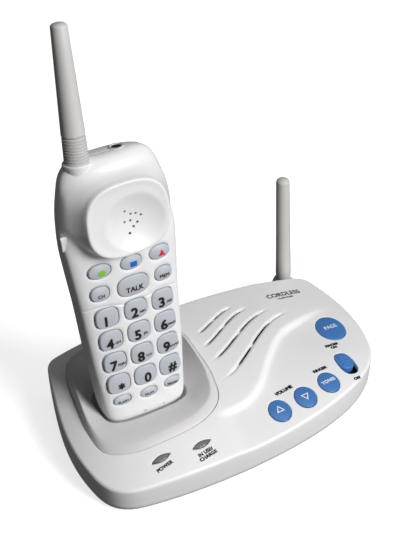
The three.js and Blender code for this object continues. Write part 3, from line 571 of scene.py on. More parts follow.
def leaf(margin, count=40):
    """A pointed oval with both sides bowed."""
    t = np.linspace(-1, 1, count // 2, endpoint=False)
    half, bow = LEAF["half"] + 2 * margin, LEAF["bow"] / 2 + margin
    lower = np.column_stack([half * t, -bow * (1 - t * t)])
    return np.vstack([lower, -lower])


def in_plan(outline, matrix):
    """A flat outline on the surface, seen in plan."""
    return moved(np.column_stack([outline, np.zeros(len(outline))]), matrix)[:, :2]


def slot_line(index, count=80):
    start, end = np.array(SLOT_STARTS[index], float), np.array(SLOT_ENDS[index], float)
    reach = np.linalg.norm(end - start) * SLOT["handle"]
    leave, arrive = math.radians(SLOT["leave"]), math.radians(SLOT["arrive"])
    after = start + reach * np.array([math.cos(leave), math.sin(leave)])
    before = end - reach * np.array([math.cos(arrive), math.sin(arrive)])
    return np.vstack([bezier([start, after, before, end], count), end])


def slot_opening(index, span):
    """One slit: a long leaf along the slot's line."""
    line = slot_line(index, 160)
    part = resample(line[int(span[0] * 160):int(span[1] * 160)], 26, False)
    along = np.gradient(part, axis=0)
    along /= np.linalg.norm(along, axis=1)[:, None]
    sideways = np.column_stack([-along[:, 1], along[:, 0]])
    share = np.linspace(0, 1, len(part))
    half = SLOT["half_width"] * np.minimum(1, 6 * np.minimum(share, 1 - share)) ** 0.5
    half = np.maximum(half, 0.08)[:, None]
    return np.vstack([part - sideways * half, (part + sideways * half)[::-1]])


SLOT_LINES = [slot_line(i) for i in range(len(SLOT_STARTS))]
SLITS = [slot_opening(i, span) for i, spans in enumerate(SLOT_OPENINGS) for span in spans]


def slot_relief(points):
    """Depth of the tapering groove around each slot."""
    depth = np.zeros(len(points))
    for line in SLOT_LINES:
        near = np.all((points > line.min(0) - 4) & (points < line.max(0) + 4), axis=1)
        distance, _, along = nearest(points[near], line, False)
        taper = smooth(6 * np.minimum(along, 1 - along))
        reach = SLOT["reach"] * (0.35 + 0.65 * taper)
        depth[near] = np.maximum(depth[near], SLOT["groove"] * taper * (1 - smooth(distance / reach)))
    return depth


def slot_points():
    """Plan points that follow the grooves."""
    rows = []
    for line in SLOT_LINES:
        along = np.gradient(line, axis=0)
        along /= np.linalg.norm(along, axis=1)[:, None]
        sideways = np.column_stack([-along[:, 1], along[:, 0]])
        rows += [line + sideways * d for d in (-3.2, -2.4, -1.7, -1.1, 0, 1.1, 1.7, 2.4, 3.2)]
    return np.vstack(rows)


def top_holes():
    """Openings in the base's top, in plan."""
    holes = [inset(SEAM, -GAP)]
    for button in BUTTONS.values():
        rim = superellipse(button["half_x"] + GAP, button["half_y"] + GAP, 2, 64)
        holes.append(in_plan(rim, surface_frame(button["place"], button["turn"])))
    holes.append(in_plan(superellipse(5.65, 8.8, 2.6, 64), surface_frame(SWITCH_PLACE)))
    for place in LAMPS.values():
        holes.append(in_plan(leaf(0.2), surface_frame(place, LAMP_TURN)))
    return holes + SLITS


def base_top():
    holes = top_holes()
    solid_holes = holes[:len(holes) - len(SLITS)]
    edge_radius = 0.45

    def plain(plan):
        return on_top(plan)

    def shaped(plan):
        height = top_height(plan) - fillet(nearest(plan, OUTLINE, True)[0], RIM_RADIUS) - slot_relief(plan)
        for hole in solid_holes:
            near = np.all((plan > hole.min(0) - 1) & (plan < hole.max(0) + 1), axis=1)
            height[near] -= fillet(nearest(plan[near], hole, True)[0], edge_radius)
        return np.column_stack([plan, height])

    rims = [inset(OUTLINE, d) for d in (0.12, 0.3, 0.55, 0.9, 1.25, RIM_RADIUS, 2.1)]
    collars = [inset(hole, -d) for hole in solid_holes for d in (0.1, 0.25, edge_radius, 0.9)]
    open_grid = clear_of(grid(OUTLINE.min(0), OUTLINE.max(0), 1.5), [OUTLINE], 2.7)
    grooves = clear_of(slot_points(), [*SLITS, *solid_holes], 0.45)
    open_grid = clear_of(open_grid, [*solid_holes], 1.4)
    far = np.ones(len(open_grid), bool)
    for line in SLOT_LINES:
        far &= nearest(open_grid, line, False)[0] > 3.7
    fine = np.vstack([*rims, *collars, grooves, open_grid[far]])
    wall_in = inset(OUTLINE, WALL + 0.3)
    coarse = clear_of(grid(OUTLINE.min(0), OUTLINE.max(0), 5), [wall_in, *holes], 1.5)
    coarse = coarse[inside(coarse, wall_in)]

    def level(distance, z):
        return np.column_stack([inset(OUTLINE, distance), np.full(len(OUTLINE), z)])

    top_edge = top_height(OUTLINE) - RIM_RADIUS
    edge = []
    for share in (0.06, 0.3, 0.6, 0.85):
        z = top_edge + (7.5 - top_edge) * share
        edge.append(np.column_stack([inset(OUTLINE, 0.5 * share ** 2), z]))
    edge += [level(0.5, 7.5), level(0.55, 6.2), level(0.6, 5), level(0.75, BASE_PARTING + GAP / 2)]
    edge += [level(WALL + 1.6, BASE_PARTING + GAP / 2), level(WALL + 0.8, 9)]
    points, faces = plate(OUTLINE, holes, fine, coarse, shaped, plain, WALL, wall_in, edge)
    piece("base_top_cover", points, faces, BASE_WHITE, "base", ["base_top_shell"])


def base_floor():
    """The floor plate, with a recess for each foot and screw."""
    feet = []
    for node, radius in [(f"rubber_foot_{i}", 6.3) for i in range(1, 5)] + [("base_screw_1", 3.3), ("base_screw_2", 3.3)]:
        low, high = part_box(node)
        centre = np.array((low + high) / 2)[:2] * 1000 - SHIFT[:2]
        feet.append(centre + superellipse(radius, radius, 2, 40))
    outline = inset(OUTLINE, 4.2)

    def flat(plan):
        return np.column_stack([plan, np.full(len(plan), BASE_BOTTOM)])

    free = grid(outline.min(0), outline.max(0), 7)
    free = clear_of(free[inside(free, outline)], [outline, *feet], 2)
    edge = []
    parting = BASE_PARTING - GAP / 2
    for distance, z in ((2.2, 1.6), (1.3, 2.4), (0.9, parting), (WALL + 1.9, parting)):
        edge.append(np.column_stack([inset(OUTLINE, distance), np.full(len(OUTLINE), z)]))
    under = inset(OUTLINE, WALL + 2.6)
    points, faces = plate(outline, feet, free, free, flat, flat, -WALL + 0.3, under, edge)
    piece("base_floor_plate", points, faces, BASE_WHITE, "base", ["base_bottom_shell"])


# ---------------------------------------------------------------- handset axes

def lift_axis():
    for joint in frame["joints"]:
        if joint["name"] == "handset_lift":
            return np.array(joint["axis"], float)
    raise ValueError("the frame has no handset_lift joint")


BOARD_MIDDLE = np.array([0, 8.7, 10])


def handset_frame():
    """The handset's axes: x across, y into its depth, z up along it."""
    up = lift_axis()
    across = np.array([1.0, 0, 0])
    matrix = np.eye(4)
    matrix[:3, :3] = np.column_stack([across, np.cross(up, across), up])
    low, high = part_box("handset_circuit_board")
    centre = np.array((low + high) / 2) * 1000 - SHIFT
    matrix[:3, 3] = centre - matrix[:3, :3] @ BOARD_MIDDLE
    return matrix


HANDSET = handset_frame()
HANDSET_BACK = np.linalg.inv(HANDSET)


def local_box(node):
    """A handset node's corners along the handset's axes."""
    points = np.array([v.co for v in frame["nodes"][node].data.vertices]) * 1000 - SHIFT
    local = moved(points, HANDSET_BACK)
    return local.min(0), local.max(0)


ROWS = spline(HANDSET_SECTIONS, 600)
FACE_RUN = np.concatenate([[0], np.cumsum(np.hypot(np.diff(ROWS[:, 0]), np.diff(ROWS[:, 2])))])
FACE_RUN -= np.interp(0, ROWS[:, 0], FACE_RUN)
BACK_RUN = np.concatenate([[0], np.cumsum(np.hypot(np.diff(ROWS[:, 0]), np.diff(ROWS[:, 3])))])
BACK_RUN -= np.interp(0, ROWS[:, 0], BACK_RUN)


class Side:
    """One half of the handset as a surface over a flat plan of girth and run."""

    def __init__(self, run, column, powers, sign):
        self.run, self.column, self.powers, self.sign = run, column, powers, sign

    def section(self, run):
        v, half, depth = (np.interp(run, self.run, ROWS[:, k]) for k in (0, 1, self.column))
        deep = np.maximum(np.abs(PARTING_DEPTH - depth), 0.05)
        low, high = self.powers
        power = low + (high - low) * smooth((v - POWER_SHIFT[0]) / (POWER_SHIFT[1] - POWER_SHIFT[0]))
        return v, half, deep, power

    def limit(self, run):
        """The girth at which the section meets the parting plane."""
        _, half, deep, power = self.section(run)
        return 0.5 ** (1 / power) * (half + deep) - SEAM_GAP

    def points(self, plan):
        """Plan points as x, depth and height along the handset."""
        girth, run = plan[:, 0], plan[:, 1]
        v, half, deep, power = self.section(run)
        corner = 0.5 ** (1 / power)
        x_corner, y_corner = corner * half, corner * deep
        over = np.maximum(np.abs(girth) - x_corner, 0)
        flat_x = np.minimum(np.abs(girth), x_corner)
        flat_y = deep * np.maximum(1 - (flat_x / half) ** power, 0) ** (1 / power)
        side_y = np.clip(y_corner - over, 0, deep)
        side_x = half * np.maximum(1 - (side_y / deep) ** power, 0) ** (1 / power)
        x = np.where(over > 0, side_x, flat_x)
        y = np.where(over > 0, side_y, flat_y)
        bow = FACE_BOW * (x / KEY_PITCH) ** 2 * (y / deep) if self.sign < 0 else 0
        return np.column_stack([np.sign(girth) * x, PARTING_DEPTH + self.sign * y + bow, v])

    def outline(self, count):
        """The plan's outer loop, counter-clockwise."""
        run = np.linspace(self.run[0], self.run[-1], 400)
        right = np.column_stack([self.limit(run), run])
        left = np.column_stack([-self.limit(run), run])[::-1]
        return resample(np.vstack([right, left]), count, True)


FRONT = Side(FACE_RUN, 2, FRONT_POWER, -1)
BACK = Side(BACK_RUN, 3, BACK_POWER, 1)


def run_at(side, v):
    return np.interp(v, ROWS[:, 0], side.run)


# ---------------------------------------------------------------- handset front

KEY_NODES = sorted(name for name in frame["nodes"] if name.startswith("key_"))
KEY_POWERS = {"talk": 2.6, "channel": 2.4, "memory": 2.4}
KEY_GAP, KEY_MARGIN = 0.32, 0.45
OVAL_KEYS = ("boost_green", "boost_blue", "boost_red", "flash", "mute", "redial")
DIGIT_POWER = 2.9


def key_shape(node):
    low, high = local_box(node)
    label = node[len("key_"):]
    power = 2.1 if label in OVAL_KEYS else KEY_POWERS.get(label, DIGIT_POWER)
    centre = (low + high) / 2
    half = (high - low) / 2
    face = FACE_BOW * (centre[0] / KEY_PITCH) ** 2
    return {"label": label, "x": centre[0], "v": centre[2], "half_x": half[0] - KEY_MARGIN,
            "half_v": half[2] - KEY_MARGIN, "power": power, "face": face, "foot": face - high[1]}


KEYS = {node: key_shape(node) for node in KEY_NODES}
CUP_LINE = spline(CUP_PROFILE, 300)


def cup_share(x, v):
    """How far a point is out from the ear cup's middle, as a share of its outline."""
    power = CUP["power"]
    return (np.abs((x - CUP["x"]) / CUP["half_x"]) ** power + np.abs((v - CUP["v"]) / CUP["half_v"]) ** power) ** (1 / power)


def cup_height(x, v):
    """Height of the ear cup: its flank falls gently to the sides and the top, and steeply to the keys."""
    share = cup_share(x, v)
    easing = FLANK_EASING + (1 - FLANK_EASING) * smooth((CUP["v"] - v) / CUP["half_v"])
    share = np.where(share > 1, 1 + (share - 1) * easing, share)
    return np.interp(share, CUP_LINE[:, 0], CUP_LINE[:, 1]) - dish_drop(x, v)


def dish_drop(x, v):
    """Depth of the round dish in the ear cup."""
    share = ((x - DISH["x"]) / DISH["half_x"]) ** 2 + ((v - DISH["v"]) / DISH["half_v"]) ** 2
    return DISH["depth"] * np.maximum(1 - share, 0) ** DISH["power"]


def blended(a, b, width):
    """The lesser of two depths, with the crease between them filled."""
    mix = np.clip(1 - np.abs(a - b) / width, 0, 1)
    return np.minimum(a, b) - mix ** 2 * width / 4


ARCH = [(-27, 27.6), (-21.8, 28.6), (-15, 28.2), (-8, 26.5), (0.5, 25.9), (9, 26.6), (17, 28), (27, 26.5)]
ARCH_LINE = spline(ARCH, 60)


def face_holes():
    """Openings in the handset's face, in its plan."""
    holes = []
    for key in KEYS.values():
        outline = superellipse(key["half_x"] + KEY_GAP, key["half_v"] + KEY_GAP, key["power"], 56)
        holes.append(outline + (key["x"], run_at(FRONT, key["v"])))
    for dx, dv in EAR_HOLES:
        place = np.array([EAR_CENTRE[0] + dx, run_at(FRONT, EAR_CENTRE[1] + dv)])
        holes.append(place + superellipse(EAR_HOLE_RADIUS, EAR_HOLE_RADIUS, 2, 14))
    for x, v in MIC_SLOTS:
        holes.append(np.array([x, run_at(FRONT, v)]) + superellipse(2, 0.72, 3, 20))
    return holes


def handset_front():
    holes = face_holes()
    key_holes = holes[:len(KEYS)]
    outline = FRONT.outline(360)
    arch = np.column_stack([ARCH_LINE[:, 0], run_at(FRONT, ARCH_LINE[:, 1])])

    def cupped(local):
        x, v = local[:, 0], local[:, 2]
        local = local.copy()
        raised = blended(local[:, 1], -cup_height(x, v), 2.4)
        held = smooth((PARTING_DEPTH - local[:, 1]) / RIM_HOLD)
        local[:, 1] += (raised - local[:, 1]) * held
        return local

    def under(plan):
        return moved(cupped(FRONT.points(plan)), HANDSET)

    def shaped(plan):
        local = cupped(FRONT.points(plan))
        for hole in key_holes:
            near = np.all((plan > hole.min(0) - 2) & (plan < hole.max(0) + 2), axis=1)
            distance = nearest(plan[near], hole, True)[0]
            local[near, 1] += 0.35 * (1 - smooth(distance / 1.5)) + fillet(distance, 0.3)
        distance = nearest(plan, arch, False)[0]
        local[:, 1] += 0.42 * (1 - smooth(distance / 0.9))
        return moved(local, HANDSET)

    collars = [inset(hole, -d) for hole in key_holes for d in (0.08, 0.18, 0.32, 0.6, 1.0, 1.45)]
    arch_rows = [arch + (0, d) for d in (-0.9, -0.5, -0.2, 0.2, 0.5, 0.9)]
    cup_outline = superellipse(CUP["half_x"], CUP["half_v"], CUP["power"], 130)
    cup_centre = np.array([CUP["x"], run_at(FRONT, CUP["v"])])
    shares = (0.8, 0.83, 0.86, 0.885, 0.91, 0.93, 0.95, 0.965, 0.98, 0.995, 1.01, 1.025, 1.045, 1.07, 1.1, 1.14, 1.18)
    cup_rings = [cup_centre + cup_outline * share for share in shares]
    rims = [inset(outline, d) for d in (0.5, 1.1, 1.8)]
    open_grid = grid(outline.min(0), outline.max(0), 1.25)
    open_grid = open_grid[inside(open_grid, inset(outline, 2.4))]
    share = cup_share(open_grid[:, 0], np.interp(open_grid[:, 1], FRONT.run, ROWS[:, 0]))
    open_grid = open_grid[(share < 0.775) | (share > 1.21)]
    open_grid = open_grid[nearest(open_grid, arch, False)[0] > 1.3]
    open_grid = clear_of(open_grid, key_holes, 1.9)
    collar_points = clear_of(np.vstack(collars), [outline], 0.6)
    free = np.vstack([collar_points, *arch_rows, *cup_rings, *rims, open_grid])
    free = free[inside(free, inset(outline, 0.3))]
    for hole in holes:
        free = free[~inside(free, hole)]
    free = clear_of(free, holes[len(KEYS):], 0.35)
    coarse = grid(outline.min(0), outline.max(0), 3)
    coarse = coarse[inside(coarse, inset(outline, 1.5))]
    coarse = clear_of(coarse, holes, 0.9)
    points, faces = plate(outline, holes, free, coarse, shaped, under, 1.6)
    piece("handset_front_cover", points, faces, WHITE, "handset", ["handset_front_shell"], 50)


def handset_back():
    """The back cover, open where the battery door sits."""
    outline = BACK.outline(300)
    door = superellipse(DOOR["half_x"], (DOOR["high"] - DOOR["low"]) / 2, 12, 120)
    door = door + (0, run_at(BACK, (DOOR["high"] + DOOR["low"]) / 2))

    def plain(plan):
        return moved(BACK.points(plan), HANDSET)

    free = grid(outline.min(0), outline.max(0), 1.8)
    free = clear_of(free[inside(free, outline)], [outline, door], 1)
    points, faces = plate(outline, [door], free, free, plain, plain, -BACK_WALL)
    piece("handset_back_cover", points, faces, WHITE, "handset", ["handset_back_shell"], 50)

    rim = inset(door, GAP)
    free = free[inside(free, inset(rim, 1.2))]
    thumb = np.array([0, run_at(BACK, DOOR["high"] - 8)])

    def door_face(plan):
        local = BACK.points(plan)
        distance = np.hypot((plan[:, 0] - thumb[0]) / 9, (plan[:, 1] - thumb[1]) / 4)
        local[:, 1] -= 0.9 * (1 - smooth(distance))
        local[:, 1] -= fillet(nearest(plan, rim, True)[0], 0.5)
        return moved(local, HANDSET)

    rings = [inset(rim, d) for d in (0.12, 0.3, 0.5, 0.9)]
    points, faces = plate(rim, [], np.vstack([*rings, free]), free, door_face, plain, -BACK_WALL)
    piece("battery_door_cover", points, faces, WHITE, "battery_door", ["battery_door"])


# ---------------------------------------------------------------- cradle

def in_superellipse(ways, half_x, half_y, power):
    reach = (np.abs(ways[:, 0] / half_x) ** power + np.abs(ways[:, 1] / half_y) ** power) ** (-1 / power)
    return ways * reach[:, None]


def cradle():
    centre = WELL["centre"]
    ways = SEAM - centre
    ways = ways / np.linalg.norm(ways, axis=1)[:, None]
    well = centre + in_superellipse(ways, WELL["half_x"], WELL["half_y"], WELL["power"])
    bottom = moved(np.array([[0, 0, HANDSET_SECTIONS[1][0] - 0.8]]), HANDSET)[0]
    fall = -HANDSET[1, 2] / HANDSET[2, 2]

    def rise(y):
        return 1.2 + 3.6 * smooth((y + 34) / 50)

    def ring(share, height):
        plan = SEAM + (well - SEAM) * share
        return np.column_stack([plan, height(plan)])

    def flank(share):
        climb = 1 - (1 - share / 0.22) ** 2
        return ring(share, lambda p: top_height(p) - 0.3 * (1 - climb) + rise(p[:, 1]) * climb)

    def dish(share, drop=0.0):
        progress = (share - 0.22) / 0.76
        fall_share = progress * (1.25 - 0.25 * progress)
        target = WELL["rim_z"] - 2.5

        def height(plan):
            crest = top_height(plan) + rise(plan[:, 1])
            return crest + (target - crest) * fall_share - drop
        return ring(share, height)

    def pocket(factor, drop):
        plan = centre + (well - centre) * factor
        z = bottom[2] + (plan[:, 1] - bottom[1]) * fall - drop
        return np.column_stack([plan, z])

    under = [pocket(0.5, WELL["floor"]), pocket(0.96, WELL["floor"]), dish(0.8, 3), dish(0.3, 3)]
    lip = [ring(0.02, lambda p: top_height(p) - 5), ring(0, lambda p: top_height(p) - 1.2)]
    outer = [flank(s) for s in (0, 0.012, 0.03, 0.055, 0.085, 0.12, 0.155, 0.19, 0.22)]
    inner = [dish(s) for s in (0.26, 0.31, 0.37, 0.44, 0.52, 0.61, 0.7, 0.79, 0.88, 0.94, 0.98)]
    rings = under + lip + outer + inner + [pocket(0.99, -1.5), pocket(0.985, 0), pocket(0.5, 0)]
    points, faces = skin(rings)
    piece("charging_cradle", points, faces, CRADLE_WHITE, "base", ["cradle_insert"], 50)


# ---------------------------------------------------------------- lettering

LONGEST_EDGE = 0.9
FINE_STROKE = 0.2


def divided(flat):
    """The points and faces of a flat mesh, with its long edges split so that it can follow a curve."""
    work = bmesh.new()
    work.from_mesh(flat)
    bmesh.ops.remove_doubles(work, verts=work.verts, dist=1e-4)
    bmesh.ops.triangulate(work, faces=work.faces)
    for _ in range(5):
        long_edges = [e for e in work.edges if e.calc_length() > LONGEST_EDGE]
        if long_edges:
            bmesh.ops.subdivide_edges(work, edges=long_edges, cuts=1)
            bmesh.ops.triangulate(work, faces=work.faces)
    work.verts.index_update()
    points = np.array([(v.co.x, v.co.y, 0) for v in work.verts])
    faces = [tuple(v.index for v in face.verts) for face in work.faces]
    work.free()
    return points, faces


def lettering(name, text, size, matrix, material, body, bold, settle, spacing=1.0):
    """Printed words centred on the matrix's origin, made bold by printing them a little to every side."""
    curve = bpy.data.curves.new(name, "FONT")
    curve.body = text
    curve.size = size
    curve.align_x = "CENTER"
    curve.align_y = "CENTER"
    curve.space_character = spacing
    curve.space_line = 0.95
    carrier = bpy.data.objects.new(name + "_curve", curve)
    bpy.context.scene.collection.objects.link(carrier)
    bpy.context.view_layer.update()
    flat = bpy.data.meshes.new_from_object(carrier.evaluated_get(bpy.context.evaluated_depsgraph_get()))
    bpy.data.objects.remove(carrier)
    points, faces = divided(flat)
    bpy.data.meshes.remove(flat)
    points -= (points.min(0) + points.max(0)) / 2
    strokes = 8 if bold > FINE_STROKE else 4
    turns = 2 * np.pi * (np.arange(strokes) + 0.5) / strokes
    offsets = np.column_stack([np.cos(turns), np.sin(turns), np.zeros(strokes)]) * bold
    points, faces = joined(*[(points + offset, faces) for offset in offsets])
    return piece(name, settle(moved(points, matrix)), faces, material, body)


def domed(matrix, outline_power, half_x, half_y, high, dome, lift=PRINT_LIFT):
    """Lays lettering on a domed cap that stands on the matrix's axes."""
    back = np.linalg.inv(matrix)

    def settle(points):
        local = moved(points, back)
        share = (np.abs(local[:, 0] / half_x) ** outline_power + np.abs(local[:, 1] / half_y) ** outline_power)
        local[:, 2] = high + dome * (1 - share ** (2 / outline_power)) + lift
        return moved(local, matrix)
    return settle


def on_base(points):
    """Lays lettering on the base's top."""
    return on_top(points[:, :2], PRINT_LIFT)


def turned_matrix(matrix, angle, dx=0.0, dy=0.0, dz=0.0):
    """The same axes moved along themselves, then turned about z."""
    turn = np.array(Matrix.Translation((dx, dy, dz)) @ Matrix.Rotation(angle, 4, "Z"))
    return matrix @ turn


# ---------------------------------------------------------------- keys

KEY_LETTERS = {"2": "ABC", "3": "DEF", "4": "GHI", "5": "JKL", "6": "MNO", "7": "PQRS", "8": "TUV", "9": "WXYZ"}
KEY_SIGNS = {"star": "*", "hash": "#"}
KEY_WORDS = {"talk": ("TALK", 4.3), "channel": ("CH", 2.9), "memory": ("MEM", 2.9),
             "flash": ("FLASH", 2.2), "mute": ("MUTE", 2.2), "redial": ("REDIAL", 2.1)}
KEY_MARKS = {
    "boost_green": (MARK_GREEN, 40, (2.3, 1.9, 0)),
    "boost_blue": (MARK_BLUE, 4, (2.8, 2.3, 0)),
    "boost_red": (MARK_RED, 3, (2.4, 2.6, 0)),
}
MARK_PLACE = (0.9, -1)
DIGIT = {"size": 8.2, "bold": 0.38, "across": -1.3, "drop": -1.5}
SIGN_PLACE = (0.9, -1.6)
LETTERS = {"size": 2.1, "bold": 0.1, "across": 3.5, "drop": -2}


KEY_CAP = {"crest": 0.95, "sunk": 0.4, "dome": 0.65, "radius": 0.8}


def key_matrix(key):
    """Axes on a key's top: x across the handset, y up along it, z out of its face."""
    local = np.eye(4)
    local[:3, :3] = np.column_stack([(1, 0, 0), (0, 0, 1), (0, -1, 0)])
    local[:3, 3] = (key["x"], key["face"], key["v"])
    return HANDSET @ local


def key_cap(node, key):
    label = key["label"]
    outline = superellipse(key["half_x"], key["half_v"], key["power"], 64)
    crest = KEY_CAP["sunk"] if label in ("flash", "mute", "redial") else KEY_CAP["crest"]
    dome, radius = KEY_CAP["dome"], KEY_CAP["radius"]
    high = crest - dome
    matrix = key_matrix(key)
    settle = domed(matrix, key["power"], key["half_x"] - radius, key["half_v"] - radius, high, dome)
    points, faces = pillow(outline, key["foot"], high, radius, dome)
    piece(f"{node}_cap", moved(points, matrix), faces, KEY_GREY, node, [node], 60)
    if label in KEY_MARKS:
        material, sides, reach = KEY_MARKS[label]
        angle = 2 * np.pi * np.arange(sides) / sides + (np.pi / 2 if sides == 3 else np.pi / 4)
        shape = np.column_stack([np.cos(angle), np.sin(angle), np.zeros(sides)]) * reach
        shape = resample(shape, 48, True)
        rings = [shape * share + (*MARK_PLACE, 0) for share in (1, 0.7, 0.4, 0.1)]
        points, faces = skin(rings)
        piece(f"{node}_mark", settle(moved(points, matrix)), faces, material, node)
        return
    if label in KEY_WORDS:
        word, size = KEY_WORDS[label]
        place = turned_matrix(matrix, 0, 0.2, -0.28 * key["half_v"])
        lettering(f"{node}_word", word, size, place, INK_BLACK, node, 0.04 * size, settle)
        return
    sign = KEY_SIGNS.get(label, label)
    centred = label in ("0", *KEY_SIGNS)
    across, drop = SIGN_PLACE if centred else (DIGIT["across"], DIGIT["drop"])
    place = turned_matrix(matrix, 0, across, drop)
    lettering(f"{node}_sign", sign, DIGIT["size"], place, INK_BLACK, node, DIGIT["bold"], settle)
    if label in KEY_LETTERS:
        place = turned_matrix(matrix, 0, LETTERS["across"], LETTERS["drop"])
        letters = KEY_LETTERS[label]
        lettering(f"{node}_letters", letters, LETTERS["size"], place, INK_BLACK, node,
                  LETTERS["bold"], settle)


# ---------------------------------------------------------------- controls on the base

BUTTON = {"high": 0.3, "dome": 0.6, "radius": 0.5, "low": -4.4, "flange": 0.7, "bottom": -5.2}


ARROW = {"reach": 3.0, "opening": 0.62}
BUTTON_WORDS = {"page_button": ("PAGE", 4.0), "ringer_tone_button": ("TONES", 3.0)}


def round_button(node, button):
    outline = superellipse(button["half_x"], button["half_y"], 2, 96)
    cap = pillow(outline, BUTTON["low"], BUTTON["high"], BUTTON["radius"], BUTTON["dome"])
    wide = outline * (1 + BUTTON["flange"] / button["half_x"])
    levels = (BUTTON["bottom"], BUTTON["low"])
    flange = skin([np.column_stack([wide, np.full(len(wide), z)]) for z in levels])
    points, faces = joined(cap, flange)
    matrix = surface_frame(button["place"], button["turn"])
    piece(f"{node}_cap", moved(points, matrix), faces, BUTTON_BLUE, node, [node], 50)


def button_dome(button):
    matrix = surface_frame(button["place"], button["turn"])
    reach_x, reach_y = button["half_x"] - BUTTON["radius"], button["half_y"] - BUTTON["radius"]
    return domed(matrix, 2, reach_x, reach_y, BUTTON["high"], BUTTON["dome"])


def triangle_frame(node, towards):
    """An outlined triangle that points the given way, in plan."""
    matrix = surface_frame(BUTTONS[node]["place"])
    way = np.array([*towards, 0]) @ matrix[:3, :3]
    angle = math.atan2(way[1], way[0])
    corners = angle + 2 * np.pi * np.arange(3) / 3
    outer = resample(np.column_stack([np.cos(corners), np.sin(corners), np.zeros(3)]) * ARROW["reach"], 24, True)
    points = np.vstack([outer, outer * ARROW["opening"]])
    settle = button_dome(BUTTONS[node])
    piece(f"{node}_arrow", settle(moved(points, matrix)), strip(0, 24, 24), INK_WHITE, node)


def base_buttons():
    for node, button in BUTTONS.items():
        round_button(node, button)
        place = turned_matrix(surface_frame(button["place"]), 0.1, 0, 0.4)
        if node in BUTTON_WORDS:
            word, size = BUTTON_WORDS[node]
            lettering(f"{node}_word", word, size, place, INK_WHITE, node, 0.13, button_dome(button))
    up = np.array([0.875, -0.484])
    triangle_frame("volume_up_button", up)
    triangle_frame("volume_down_button", -up)


def ringer_switch():
    matrix = surface_frame(SWITCH_PLACE)
    outline = superellipse(5.3, 6.4, 2.4, 80)
    body = pillow(outline, -4, 0.2, 0.6, 0.45)
    body[0][:, 1] += SWITCH_OFFSET
    ribs = []
    for y in (-2.9, -1, 0.9, 2.8):
        bar = pillow(superellipse(3.1, 0.4, 3, 28), -0.3, 1.0, 0.25, 0.05)
        bar[0][:, 1] += SWITCH_OFFSET + y
        ribs.append(bar)
    points, faces = joined(body, *ribs)
    piece("ringer_switch_cap", moved(points, matrix), faces, BUTTON_BLUE, "ringer_switch_knob",
          ["ringer_switch_knob"], 50)
    well = superellipse(6.3, 9.4, 2.6, 48)
    tray = skin([np.column_stack([well * f, np.full(48, z)]) for f, z in ((0.5, -6), (1, -6), (1, -4.6), (0.5, -4.6))])
    piece("ringer_switch_well", moved(tray[0], matrix), tray[1], SOCKET_BLACK, "base")


def lamps():
    for node, place in LAMPS.items():
        matrix = surface_frame(place, LAMP_TURN)
        outline = leaf(0)
        rings = [np.column_stack([outline, np.full(len(outline), z)]) for z in (-3.4, 0.0)]
        for share, z in ((0.93, 0.16), (0.8, 0.26), (0.55, 0.3)):
            rings.append(np.column_stack([outline * share, np.full(len(outline), z)]))
        points, faces = skin(rings)
        piece(f"{node}_face", moved(points, matrix), faces, LENS_SMOKE, "base", [node], 50)


def labels():
    """Generic function words printed on the base."""
    words = [
        ("ringer_on_label", "RINGER\nON", (69.9, -18.7), 0.03, 2.6, 0.21),
        ("ringer_off_label", "OFF", (68, -47), 0.0, 2.6, 0.21),
        ("ringer_label", "RINGER", (50.7, -33.1), 0.05, 2.7, 0.21),
        ("volume_label", "VOLUME", (22.5, -37.5), 0.12, 3, 0.23),
        ("power_label", "POWER", (-63.4, -52.8), 0.16, 2.9, 0.2),
        ("in_use_label", "IN USE/\nCHARGE", (-39.2, -56.4), 0.14, 2.8, 0.2),
        ("type_label", "CORDLESS", (69.5, 36.4), 0.03, 5.2, 0.17),
        ("kind_label", "TELEPHONE", (68.5, 32.4), 0.03, 2.1, 0.08),
    ]
    for name, text, place, turn, size, bold in words:
        matrix = surface_frame(np.array(place), turn)
        lettering(name, text, size, matrix, INK_BLACK, "base", bold, on_base, 1.04)


# ---------------------------------------------------------------- antennas, jack and small parts

ANTENNA = {"x": -16.2, "depth": 10.6, "seat": 108.4, "lean": math.radians(1.6), "boot": 14.3, "tip": 181}


def antenna_matrix():
    lean = np.array(Matrix.Rotation(ANTENNA["lean"], 4, "Y"))
    place = np.eye(4)
    place[:3, 3] = (ANTENNA["x"], ANTENNA["depth"], ANTENNA["seat"])
    return HANDSET @ place @ lean


